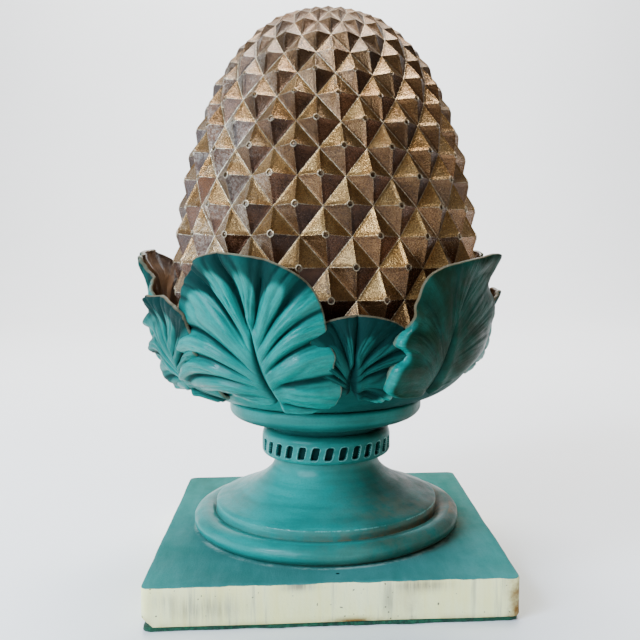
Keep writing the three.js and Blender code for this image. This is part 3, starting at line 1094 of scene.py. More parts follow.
@dataclass
class Socle(Builder):
    """The turned foot, the slotted ring and the dish.

    Attributes:
        foot: Outer radius of the fat round moulding.
        bulge: Half its width and half its height.
        band: Radius of the sharp band above it.
        neck: Radius of the neck.
        ring: Outer radius of the slotted ring.
        step: Radius of the small step over the ring.
        dish: Radius of the dish.
        flare_power: How quickly the flare narrows.
        slots: Number of slots, each of the width, height and depth below.
        slot_slant: Lean of the slots, in degrees.
        slot_turn: Azimuth of the first slot, in degrees.
        slot_corner: Radius of their corners.
        slot_columns: Points across a slot and the wall beside it.
        wall_drop: How far the ring's upright wall sits under its middle.
        wall_half: Half the height of that wall.
        columns: Points round the foot and the dish.
    """

    foot: float = 106.4
    bulge: Pair = (10.5, 7.7)
    band: float = 88.6
    neck: float = 41.7
    ring: float = 51.1
    step: float = 45.9
    dish: float = 76.2
    flare_power: float = 1.9
    slots: int = 30
    slot_width: float = 5.6
    slot_height: float = 9.8
    slot_depth: float = 3.4
    slot_slant: float = 13.0
    slot_turn: float = 1.0
    slot_corner: float = 1.7
    slot_columns: int = 26
    wall_drop: float = 1.2
    wall_half: float = 6.1
    columns: int = 300

    def build(self) -> None:
        """Builds the three pieces of the socle."""
        pieces = {
            "socle_foot": self.foot_piece(),
            "slotted_ring": self.ring_piece(),
            "dish": self.dish_piece(),
        }
        for name, surface in pieces.items():
            settle(surface.make(name), self.finishes.turned_teal, CASTING)

    def glaze_and_shade(self, points: Array) -> Array:
        """Share of dark green painted shade: none at the front left, most of the paint at the
        right.
        """
        azimuth = np.degrees(np.arctan2(points[:, 0], -points[:, 1]))
        share = rise(azimuth, -32, 60) * rise(-azimuth, -175, -120)
        return share * (0.6 + 0.2 * ripple(points, 60, 31)) + 0.06

    def worked(self, surface: Surface, sway: float) -> Surface:
        """Makes a turned face uneven by hand: a slow ripple of its radius.

        Args:
            surface: The turned surface.
            sway: Size of the ripple in millimetres.

        Returns:
            The same surface, changed.
        """
        points = surface.points
        sag = ripple(points, 70, 21) * sway + ripple(points, 18, 22) * sway * 0.3
        points += unit(points * (1, 1, 0)) * sag[:, None]
        return surface

    def foot_piece(self) -> Surface:
        """Round moulding, groove, band and flare, whose radius falls as a power of height.

        Returns:
            The surface of the foot.
        """
        top, band_top = self.levels.plinth_top, self.levels.band_top
        flare_height = self.levels.neck_bottom - band_top
        wide, tall = self.bulge
        moulding = arc((self.foot - wide, top + tall), self.bulge, -62, 84, 26)
        band = self.band
        groove = np.array([[band + 3.0, top + 14.6], [band + 0.3, top + 12.4], [band, top + 14.0]])
        share = np.linspace(0, 1, 34)
        flare_radius = self.neck + (self.band - self.neck) * (1 - share) ** self.flare_power
        flare = np.stack([flare_radius, band_top + flare_height * share], -1)
        into_ring = self.levels.ring_bottom + 3
        head = np.array([[self.neck, into_ring], [0, into_ring]])
        start = np.array([[0, top - 6], [moulding[0, 0] - 2, top - 6]])
        edge = np.array([[self.band, band_top - 0.8]])
        body = eased(eased(np.concatenate([groove, edge, flare[1:]]), 0.5), 0.2)
        line = np.concatenate([start, moulding, body, head])
        surface = self.worked(turned(line, self.columns), 0.42)
        radius, height = np.hypot(surface.points[:, 0], surface.points[:, 1]), surface.points[:, 2]
        in_groove = bell(radius - self.band - 1.2, 1.7) * bell(height - top - 13.2, 1.8)
        right = 0.5 + 0.5 * np.clip(surface.points[:, 0] / self.band, -1, 1)
        under = rise(top + 3.5 - height, -1, 4)
        band_face = (np.abs(radius - self.band) < 1.2) & (height < band_top - 0.5)
        neck = rise(height, top + 34, top + 50)
        cloud = rise(ripple(surface.points, 44, 33), -0.2, 0.8)
        on_moulding = height < top + 15
        # Painted warm shade on the right of the foot, most on the moulding.
        warm_shade_right = rise(right, 0.25, 0.7) * (0.14 + 0.14 * on_moulding)
        warm_shade_patches = cloud * rise(right, 0.42, 0.85) * (0.26 + 0.5 * on_moulding)
        dirt = in_groove * (0.3 + 0.7 * right) + (band_face * 0.25 + under * 0.6) * right
        # hollow: painted shade in the groove, under the moulding and up the neck under the dish.
        # dirt: brown in the groove, on the band and under the moulding, more to the right.
        surface.marks = {
            "olive_glaze_and_shade": self.glaze_and_shade(surface.points) + 0.12 * on_moulding,
            "painted_shade": np.clip(in_groove * 0.4 + under * 0.6 + neck * 0.22, 0, 1),
            "edge": np.hypot(radius - self.band, height - band_top + 0.4) + 0.1,
            "dirt": np.clip(dirt + warm_shade_patches + warm_shade_right, 0, 1),
        }
        return surface

    def ring_piece(self) -> Surface:
        """The bulging ring. Inside each slanted slot the wall is sunk by the slot's depth.

        Returns:
            The surface of the ring.
        """
        low, high = self.levels.ring_bottom, self.levels.ring_top
        middle = (low + high) / 2 - self.wall_drop
        flat_low, flat_high = middle - self.wall_half, middle + self.wall_half
        under = arc((self.neck, flat_low), (self.ring - self.neck, low - flat_low), 62, 0, 8)
        face = np.stack([np.full(37, self.ring), np.linspace(flat_low, flat_high, 37)], -1)[1:-1]
        over = arc((self.step, flat_high), (self.ring - self.step, high - flat_high), 0, 90, 10)
        start = np.array([[0, low - 1], [self.neck - 1, low - 1]])
        line = np.concatenate([start, under, face, over, [[0, high]]])
        surface = turned(line, self.slots * self.slot_columns)
        points = surface.points
        azimuth = np.arctan2(points[:, 0], -points[:, 1]) - math.radians(self.slot_turn)
        pitch = 2 * math.pi / self.slots
        local = (azimuth + pitch / 2) % pitch - pitch / 2
        lean = math.tan(math.radians(self.slot_slant))
        across = np.abs(local * self.ring - lean * (points[:, 2] - middle)) - self.slot_width / 2
        along = np.abs(points[:, 2] - middle) - self.slot_height / 2
        corner = self.slot_corner
        outside = np.hypot(np.maximum(across + corner, 0), np.maximum(along + corner, 0)) - corner
        well_in = (across < -corner) & (along < -corner)
        distance = np.where(well_in, np.maximum(across, along), outside)
        radius = np.hypot(points[:, 0], points[:, 1])
        on_wall = radius > self.neck + 2
        sunk = rise(-distance, -0.15, 0.35) * self.slot_depth * on_wall
        lip = bell(distance - 0.55, 0.5) * 0.28 * on_wall
        points += unit(points * (1, 1, 0)) * (lip - sunk)[:, None]
        shade_under_ring = rise(low + 1.5 - points[:, 2], 0, 2.5)
        # hollow: painted shade all over the ring, deepest in the slots and under its lower edge.
        # olive: painted shade at the right and on the ring's top under the dish.
        surface.marks = {
            "olive_glaze_and_shade": np.clip(self.glaze_and_shade(points) + rise(points[:, 2], flat_high, high) * 0.3, 0, 1),
            "painted_shade": np.clip(0.24 + sunk / self.slot_depth * 1.2 + shade_under_ring * 0.8, 0, 1),
            "edge": np.where(distance > -0.2, np.abs(distance - 0.35) + 0.15, FAR),
            "dirt": np.zeros(len(points)),
        }
        return surface

    def dish_piece(self) -> Surface:
        """Step line, concave throat, swelling lip and rounded rim, up to the flat of the dish.

        Returns:
            The surface of the dish.
        """
        levels = self.levels
        step_top, rim_bottom, top = levels.step_top, levels.rim_bottom, levels.dish_top
        reach, level = self.step + 15.6, step_top + 5.3
        low = levels.ring_top - 1
        start = np.array([[0, low], [self.step - 0.6, low]])
        ledge = np.array([[self.step, levels.ring_top + 0.6], [self.step, step_top - 0.5]])
        cavetto = arc((reach, step_top), (self.step - reach, level - step_top), 0, 90, 12)
        lip = arc((reach, rim_bottom), (self.dish - reach, level - rim_bottom), 78, 0, 14)
        rim = arc((self.dish - 2.6, top - 2.6), (2.6, 2.6), 0, 90, 8)
        line = np.concatenate([start, ledge, cavetto, lip, rim, [[0, top]]])
        surface = self.worked(turned(line, self.columns), 0.25)
        radius, height = np.hypot(surface.points[:, 0], surface.points[:, 1]), surface.points[:, 2]
        shade_under_step = rise(step_top + 2 - height, 0, 3)
        throat_shade = rise(rim_bottom + 1 - height, 0, 6)
        # Painted shadow of the leaves on the dish floor.
        floor = rise(self.dish - radius, 1, 14) * (height > top - 1)
        # hollow: painted shade all over, in the throat, under the step and on the floor. olive:
        # painted shade, most at the right.
        surface.marks = {
            "olive_glaze_and_shade": np.clip(self.glaze_and_shade(surface.points) * 1.2 + 0.1, 0, 1),
            "painted_shade": np.clip(0.12 + throat_shade * 0.4 + shade_under_step * 0.2 + floor, 0, 1),
            "edge": np.full(len(radius), FAR),
            "dirt": np.zeros(len(radius)),
        }
        return surface


@dataclass
class PineCone(Builder):
    """The scaled cone: an egg of revolution under rings of four-sided pyramids.

    Attributes:
        radius: Radius at the belly.
        sink: How far the cone reaches down into the dish.
        belly: Height from its bottom to the belly.
        crown: Height from the belly to the tip.
        fullness: How full the curve above the belly is across.
        shoulder: How full it is upwards.
        lean: Tilt of the cone to the right, in degrees.
        per_row: Scales in a ring.
        rows: Number of rings.
        skirt: Length of the line from the lowest ring to the belly.
        shrink: Spacing of the highest rings, as a share of that of the lowest.
        twist: Turn of each ring against the one below, in degrees.
        phase: Azimuth of a tip of the ring phase_row, in degrees.
        depth: Height of a pyramid over its corners at the belly.
        pit_radii: Radius of each ring of points near a tip, from its middle outwards.
        pit_levels: Level of each of those rings, measured from the tip.
        pit_lips: How much of the raised lip is at each of those rings.
        pit_holes: How much of the hole is there.
        outer_shares: Where the rings of points past the pit lie, from pit to facet edge.
        full_edge: Length of a facet's lower edge at which its rubbed lines are full.
        scale_across: Width of the scale that the pit's sizes are for.
        tip_stray: How far the tips stray at random.
        corner_stray: How far the corners do.
        columns: Spans along a facet's lower edge.
    """

    radius: float = 121.0
    sink: float = 11.0
    belly: float = 82.0
    crown: float = 228.0
    fullness: float = 2.42
    shoulder: float = 2.05
    lean: float = 0.9
    per_row: int = 20
    rows: int = 16
    skirt: float = 31.5
    shrink: float = 0.626
    twist: float = -0.86
    phase: float = -2.3
    phase_row: int = 4
    depth: float = 8.5
    pit_radii: tuple[float, ...] = (0.0, 1.35, 2.0, 2.6, 3.2)
    pit_levels: tuple[float, ...] = (-2.7, -2.5, -0.75, -0.85, -1.7)
    pit_lips: tuple[float, ...] = (0.0, 0.1, 1.0, 0.7, 0.0)
    pit_holes: tuple[float, ...] = (1.0, 0.9, 0.0, 0.0, 0.0)
    outer_shares: tuple[float, ...] = (1.0,)
    full_edge: float = 20.0
    scale_across: float = 37.0
    tip_stray: float = 0.35
    corner_stray: float = 0.3
    columns: int = 3

    def contour(self) -> tuple[Contour, float]:
        """The egg's line: an ellipse under the belly, and a fuller curve above it.

        Returns:
            The line from the bottom to the tip, and its length up to the belly.
        """
        bottom = self.levels.dish_top - self.sink
        middle = bottom + self.belly
        low = np.radians(np.linspace(-90, 0, 400))
        high = np.radians(np.linspace(0, 90, 900))[1:]
        radius = np.concatenate([
            self.radius * np.cos(low),
            self.radius * np.abs(np.cos(high)) ** (2 / self.fullness),
        ])
        height = np.concatenate([
            middle + self.belly * np.sin(low),
            middle + self.crown * np.sin(high) ** (2 / self.shoulder),
        ])
        line = Contour(radius, height)
        return line, float(line.length[399])

    def lattice(self) -> tuple[Array, Array, float]:
        """Tips and corners of the scales. Rings are closer towards the tip, each half a step on.

        Returns:
            Tips by ring and place, corners by ring and place, and the height of the cone's tip.
        """
        line, to_belly = self.contour()
        total = line.length[-1]
        start = to_belly - self.skirt
        steps = self.rows + 1
        slack = (1 - self.shrink) / 2
        row = np.arange(steps)[:, None].astype(float)
        length = start + (total - start) * (row - slack * row**2 / steps) / (steps * (1 - slack))
        pitch = 2 * math.pi / self.per_row
        stagger = np.abs(row - self.phase_row) % 2 / 2
        turn = np.radians(self.phase + self.twist * (row - self.phase_row))
        azimuth = turn + pitch * (np.arange(self.per_row)[None] + stagger)
        width = np.interp(length, line.length, line.radius)
        sunk = -self.depth * (width / self.radius) ** 1.4 * np.ones_like(azimuth)
        length = length * np.ones_like(azimuth)
        tips = line.place(length, np.zeros_like(azimuth), azimuth)
        corners = line.place(length, sunk, azimuth + pitch / 2)
        dice = np.random.default_rng(4)
        size = np.sqrt(width / self.radius)[..., None]
        tips = tips + dice.normal(size=tips.shape) * self.tip_stray * size
        corners = corners + dice.normal(size=corners.shape) * self.corner_stray * size
        return tips, corners, float(line.height[-1])

    def surface(self) -> Surface:
        """Each scale is four flat triangles, in rings round its tip that sink to a pit there.

        Returns:
            The closed surface.
        """
        tips, corners, peak = self.lattice()
        rows, places = self.rows, self.per_row
        row = np.arange(1, rows + 1)[:, None]
        place = np.arange(places)[None]
        stagger = np.abs(row - self.phase_row) % 2 / 2
        across = np.where(stagger == 0, place - 1, place) % places
        pole = np.broadcast_to([0.0, 0.0, peak], (1, places, 3))
        ladder = np.concatenate([corners, pole])
        right, left = ladder[row, place], ladder[row, (place - 1) % places]
        rim = np.stack([right, ladder[row + 1, across], left, ladder[row - 1, across]], 2)
        tip = tips[1:, :, None, None, :]
        axis = unit(np.cross(rim[:, :, 0] - rim[:, :, 2], rim[:, :, 1] - rim[:, :, 3]))
        axis = axis[:, :, None, None, :]
        share = np.linspace(0, 1, self.columns + 1)[:, None]
        near, far = rim[:, :, :, None, :], np.roll(rim, -1, axis=2)[:, :, :, None, :]
        arm = near * (1 - share) + far * share - tip
        reach = np.linalg.norm(arm, axis=-1, keepdims=True)
        side = unit(arm - (arm * axis).sum(-1, keepdims=True) * axis)
        arm, side, reach = arm[..., None, :, :], side[..., None, :, :], reach[..., None, :, :]
        tip, axis = tip[..., None, :, :], axis[..., None, :, :]
        size = np.sqrt(np.linalg.norm(rim[:, :, 0] - rim[:, :, 2], axis=-1) / self.scale_across)
        size = size[:, :, None, None, None, None]
        inner = np.array(self.pit_radii)[:, None, None] * size
        level = np.array(self.pit_levels)[:, None, None] * size
        pitted = tip + side * inner + axis * level
        plain = tip + arm / reach * inner
        fade = self.pit_strength()[:, :, None, None, None, None]
        fade = fade * (np.arange(len(self.pit_radii)) < len(self.pit_radii) - 1)[:, None, None]
        core = plain + (pitted - plain) * fade
        past_pit = reach - inner[..., -1:, :, :]
        out = inner[..., -1:, :, :] + past_pit * np.array(self.outer_shares)[:, None, None]
        shell = tip + arm / reach * out
        points = np.concatenate([core, shell], axis=3)
        return self.with_marks(points, tip, near[..., None, :, :], far[..., None, :, :], corners)

    def pit_strength(self) -> Array:
        """How deep the pit of each scale is: full on the lower rings, faint near the tip.

        Returns:
            One share by ring and scale.
        """
        dice = np.random.default_rng(8)
        by_row = np.interp(np.arange(1, self.rows + 1), [6, 8, 11, 13], [1.0, 0.75, 0.25, 0.0])
        return by_row[:, None] * dice.uniform(0.8, 1.0, (self.rows, self.per_row))

    def with_marks(
        self, points: Array, tip: Array, near: Array, far: Array, corners: Array
    ) -> Surface:
        """Adds what the finish reads: distances to ridge and valley, lips, pits and facet tones.

        Args:
            points: Places by ring, scale, facet, ring of points and column.
            tip: Tips, in the same order.
            near: First corner of each facet.
            far: Second corner of each facet.
            corners: Corners by ring and place.

        Returns:
            The closed surface.
        """
        shape = points.shape[:-1]
        upright = np.array([0.0, 0.3, 0.0, 0.3])[:, None, None]
        along_near = np.linalg.norm(np.cross(points - tip, unit(near - tip)), axis=-1) + upright
        along_far = np.linalg.norm(np.cross(points - tip, unit(far - tip)), axis=-1) + upright[::-1]
        pits = self.pit_strength()[:, :, None, None, None]
        spare = np.zeros(len(self.outer_shares))
        lips = np.concatenate([self.pit_lips, spare])[:, None] * pits
        holes = np.concatenate([self.pit_holes, spare])[:, None] * pits
        inside = np.concatenate([np.ones(len(self.pit_radii) - 1), [0.0], spare])[:, None] * pits
        scale = np.clip(np.linalg.norm(far - near, axis=-1) / self.full_edge, 0.1, 1.0) ** 1.3
        ridge = np.minimum(along_near, along_far) / scale + inside * 3
        valley = np.linalg.norm(np.cross(points - near, unit(far - near)), axis=-1) / scale
        ones = np.ones(shape)
        # Painted shadow low on the cone, just above the leaves.
        low = 1 - rise(points[..., 2], 203, 228)
        # The lit left side, where painted highlights and glints go.
        highlight_side = rise(-points[..., 0], 25, 105)
        marks = {"ridge": ridge, "valley": valley, "low": low, "highlight_side": highlight_side}
        marks |= {"lip": lips * ones, "pit": holes * ones}
        places = self.per_row
        per_facet = shape[3] * shape[4]
        facets = points.size // 3 // per_facet
        cell = grid_triangles(shape[3], shape[4])
        triangles = (np.arange(facets)[:, None, None] * per_facet + cell).reshape(-1, 3)
        facet = np.arange(facets)
        # Painted light by face: up-left lightest, up-right next, lower faces in painted shade; near
        # the crown faces are evened and darkened.
        lit_face = np.array([0.72, 1.0, 0.22, 0.0])[facet % 4]
        crown = rise(facet // (4 * places), 6, 13)
        lit_face = lit_face * (1 - 0.7 * crown) + 0.22 * crown
        dice = np.random.default_rng(9)
        tone = np.repeat(dice.uniform(0, 0.55, facets // 4), 4) + dice.uniform(0, 0.45, facets)
        tone = tone * (1 - 0.35 * crown)
        # Painted glints: the faces that carry them, chosen at random by kind of face.
        painted_glint = np.array([0.15, 0.6, 1.0, 0.2])[facet % 4] * (dice.uniform(0, 1, facets) < 0.55)
        tones = {"lit_face": lit_face, "tone": tone, "painted_glint": painted_glint}
        fill, fill_triangles = self.underside(corners, points.size // 3)
        every = np.concatenate([points.reshape(-1, 3), fill])
        far_off = np.full(len(fill), FAR)
        none = np.zeros(len(fill))
        tails = {"ridge": far_off, "valley": far_off, "low": none + 1, "highlight_side": none}
        tails |= {"lip": none, "pit": none}
        counts = np.full(facets, len(cell))
        blank = np.zeros(len(fill_triangles))
        tilt = math.radians(self.lean)
        cosine, sine = math.cos(tilt), math.sin(tilt)
        turn = np.array([[cosine, 0, sine], [0, 1, 0], [-sine, 0, cosine]])
        base = np.array([0, 0, self.levels.dish_top])
        return Surface(
            (every - base) @ turn.T + base,
            np.concatenate([triangles, fill_triangles]),
            {mark: np.concatenate([marks[mark].reshape(-1), tails[mark]]) for mark in marks},
            {key: np.concatenate([np.repeat(each, counts), blank]) for key, each in tones.items()},
        )

    def underside(self, corners: Array, first: int) -> tuple[Array, Array]:
        """Closes the cone under its lowest ring, with a fan to a point on the axis.

        Args:
            corners: Corners by ring and place.
            first: Number of the first new point.

        Returns:
            The new places and triangles.
        """
        places = self.per_row
        bottom = np.array([[0, 0, self.levels.dish_top - self.sink]])
        points = np.concatenate([corners[0], corners[1], bottom])
        here = np.arange(places)
        after = (here + 1) % places
        above = after if abs(1 - self.phase_row) % 2 == 0 else here
        wedge = np.stack([here, after, above + places], -1)
        floor = np.stack([after, here, np.full(places, 2 * places)], -1)
        return points, np.concatenate([wedge, floor]) + first

    def build(self) -> None:
        """Builds the cone."""
        cone = self.surface().make("pine_cone", 24.0)
        settle(cone, self.finishes.bronze, CASTING)


@dataclass(frozen=True)
class LeafCut:
    """The cut of a leaf: places as (side, length up the cup, lift off it), in millimetres.

    Attributes:
        midrib: The midrib from the root up, as (side, length up).
        left: The left margin from the root to the tip.
        right: The right margin from the root to the tip.
        folds: Folds on the left and on the right.
        depth: Depth of the folds.
        thickness: Thickness at the margin.
        belly: How far the middle of each half swells.
        turn_in: How far the left margin bends back to the cone.
        glaze_and_shade: Share of dark green on the leaf: part glazing, part painted shade where the
            leaf is turned from the light.
        shade_all_over: Share of painted shade all over it, where the leaf lies in shade.
        vein: Height of raised veins that stand in place of the grooves.
        lit: Width of the bright brim low on the right margin.
    """

    midrib: tuple[Pair, ...]
    left: tuple[Triple, ...]
    right: tuple[Triple, ...]
    folds: tuple[int, int] = (7, 7)
    depth: float = 4.4
    thickness: float = 2.6
    belly: float = 3.0
    turn_in: float = 0.0
    glaze_and_shade: float = 0.1
    shade_all_over: float = 0.0
    vein: float = 0.0
    lit: float = 0.0

    def trimmed(self, share: float) -> "LeafCut":
        """The same cut with its right half narrowed."""
        right = tuple((side * share, *rest) for side, *rest in self.right[:-3]) + self.right[-3:]
        return replace(self, right=right)

    def mirrored(self) -> "LeafCut":
        """The same cut with left and right swapped.

        Returns:
            The mirrored cut.
        """
        lines = (self.midrib, self.right, self.left)
        midrib, left, right = (tuple((-row[0], *row[1:]) for row in line) for line in lines)
        return replace(self, midrib=midrib, left=left, right=right, folds=self.folds[::-1])


BROAD_CUT = LeafCut(
    midrib=((19, 47), (12, 62), (7.5, 80), (4.3, 107), (0, 130), (-6, 146)),
    left=(
        (8, 44, -4), (-14, 46, -4), (-36, 52, -2), (-55, 58, 1), (-64, 64, 4), (-60, 72, 1),
        (-55, 78, -3), (-59, 85, 1), (-55, 92, 0), (-50, 98, -1), (-54, 105, 1), (-54, 115, 1),
        (-50, 124, 2), (-45, 132, 4), (-40, 138, 6), (-30, 146, 9), (-21, 149, 12),
        (-12, 151, 13),
    ),
    right=(
        (27, 41, -2), (39, 39, 0), (51, 40, 0), (60, 46, -2), (64, 56, -4), (62, 66, -4),
        (58, 76, -5), (59, 84, -3), (54, 94, -5), (53, 104, -2), (51, 114, 0), (46, 126, 1),
        (37, 136, 4), (24, 144, 9), (6, 149, 12), (-12, 151, 13),
    ),
    folds=(6, 7),
    depth=7.6,
    glaze_and_shade=0.04,
)

CURLED_CUT = LeafCut(
    midrib=((-31, 50), (-25, 72), (-21, 90), (-18, 112), (-8, 131), (2, 143)),
    left=(
        (-38, 48, -2), (-50, 47, -1), (-62, 50, 0), (-69, 57, 2), (-68, 66, 3), (-66, 74, 3),
        (-59, 80, 0), (-58, 84, -1), (-66, 91, 5), (-62, 97, 3), (-53, 103, -1), (-51, 108, 0),
        (-52, 115, 2), (-48, 122, 1), (-45, 128, 0), (-41, 134, 1), (-32, 139, 2),
        (-14, 143, 4), (10, 146, 5),
    ),
    right=(
        (-24, 50, -3), (-8, 53, -5), (8, 58, -5), (22, 65, -4), (35, 74, -3), (42, 84, -2),
        (46, 95, -1), (52, 105, 1), (52, 114, 0), (44, 121, -2), (38, 129, -1), (37, 138, 4),
        (37, 146, 8), (25, 148, 7), (10, 146, 5),
    ),
    folds=(6, 5),
    depth=1.3,
    belly=2.0,
    turn_in=6.0,
    # Dark green all over: part glazing, part painted shade, as this leaf is turned from the light.
    glaze_and_shade=1.0,
    shade_all_over=0.16,
    vein=0.9,
)

SMALL_CUT = LeafCut(
    midrib=((-9, 50), (-11, 62), (-9, 80), (-8, 98)),
    left=(
        (-14, 48, -1), (-28, 53, 0), (-38, 64, 1), (-41, 80, 1), (-39, 93, 2), (-33, 103, 3),
        (-22, 108, 4), (-8, 110, 4),
    ),
    right=(
        (-2, 47, 0), (8, 44, 2), (16, 43, 4), (22, 46, 5), (27, 52, 1), (34, 57, 4),
        (36, 66, 3), (33, 74, 0), (36, 83, 3), (33, 91, 2), (29, 97, 2), (23, 102, 3),
        (14, 106, 4), (2, 109, 5), (-8, 110, 4),
    ),
    folds=(5, 5),
    depth=5.0,
    belly=1.0,
    glaze_and_shade=0.3,
    # Painted shade over this leaf, which lies in the shade of its neighbour.
    shade_all_over=0.56,
    lit=9.0,
)

RUFFLED_CUT = LeafCut(
    midrib=((9, 50), (9, 62), (6, 82), (4, 104)),
    left=(
        (2, 47, 0), (-10, 46, 1), (-22, 50, 3), (-31, 57, 7), (-36, 64, 4), (-35, 70, 0),
        (-40, 77, 7), (-38, 84, 4), (-36, 89, 0), (-42, 96, 8), (-38, 103, 5), (-34, 107, 3),
        (-30, 114, 9), (-20, 119, 10), (-8, 119, 7), (4, 120, 6),
    ),
    right=(
        (14, 48, -1), (28, 53, 0), (37, 62, 5), (40, 70, 3), (37, 77, 0), (41, 86, 7),
        (39, 94, 4), (35, 99, 1), (36, 107, 8), (28, 115, 9), (16, 120, 8), (4, 120, 6),
    ),
    folds=(5, 5),
    depth=4.4,
    belly=1.0,
    glaze_and_shade=0.45,
)

HOOKED_CUT = replace(
    RUFFLED_CUT,
    left=(
        (2, 47, 0), (-10, 46, -2), (-22, 50, -3), (-31, 57, -4), (-36, 64, -5), (-35, 70, -5),
        (-39, 77, -5), (-38, 84, -5), (-36, 89, -5), (-40, 96, -4), (-38, 103, -2),
        (-34, 107, 0), (-30, 114, 6), (-20, 119, 9), (-8, 119, 7), (4, 120, 6),
    ),
    right=(
        (14, 48, -4), (22, 53, -5), (28, 62, -5), (30, 72, -5), (31, 82, -4), (32, 92, -1),
        (33, 100, 3), (32, 107, 8), (27, 114, 12), (18, 118, 9), (4, 120, 6),
    ),
)

DRAPED_CUT = replace(
    RUFFLED_CUT,
    right=(
        (16, 43, -1), (28, 38, -1), (37, 36, -1), (44, 39, -2), (47, 46, -1), (46, 55, -2),
        (43, 65, -3), (41, 77, -2), (41, 86, 4), (39, 94, 3), (35, 99, 1), (36, 107, 8),
        (28, 115, 9), (16, 120, 8), (4, 120, 6),
    ),
    depth=6.4,
    glaze_and_shade=0.24,
    shade_all_over=0.24,
)


@dataclass(frozen=True)
class HalfForm:
    """How the folds run on one half of a leaf.

    Attributes:
        reach: Share of the midrib that the folds start from.
        gather: Power that gathers their starts near the root.
        bow: How far a fold bows, as a share of its length.
        sway: Phase of their uneven spacing.
        bank: Height of the bank beside the midrib.
    """

    reach: float
    gather: float
    bow: float
    sway: float
    bank: float


@dataclass(frozen=True)
class Folds:
    """The folds of one half of a leaf, by row and column.

    Attributes:
        share: Place from root to tip.
        out: Place from midrib to margin.
        phase: Number of the fold, and the place in it.
        ridge: 0 in a groove, 1 on a ridge.
        minor: The same for the small folds, three to a fold.
        strength: How deeply they are carved.
        from_midrib: Distance to the midrib.
        from_margin: Distance to the margin.
    """

    share: Array
    out: Array
    phase: Array
    ridge: Array
    minor: Array
    strength: Array
    from_midrib: Array
    from_margin: Array

    @property
    def roll(self) -> Array:
        """Where a margin may be bent back: from the root to the middle."""
        return rise(self.share, 0.02, 0.2) * (1 - rise(self.share, 0.46, 0.56))

    @property
    def line(self) -> Array:
        """Distance to the nearest groove, in folds."""
        return np.abs(self.phase - np.round(self.phase))


LEFT_FORM = HalfForm(reach=0.46, gather=1.7, bow=0.34, sway=2.4, bank=0.4)
RIGHT_FORM = HalfForm(reach=0.56, gather=1.3, bow=0.19, sway=1.0, bank=2.4)


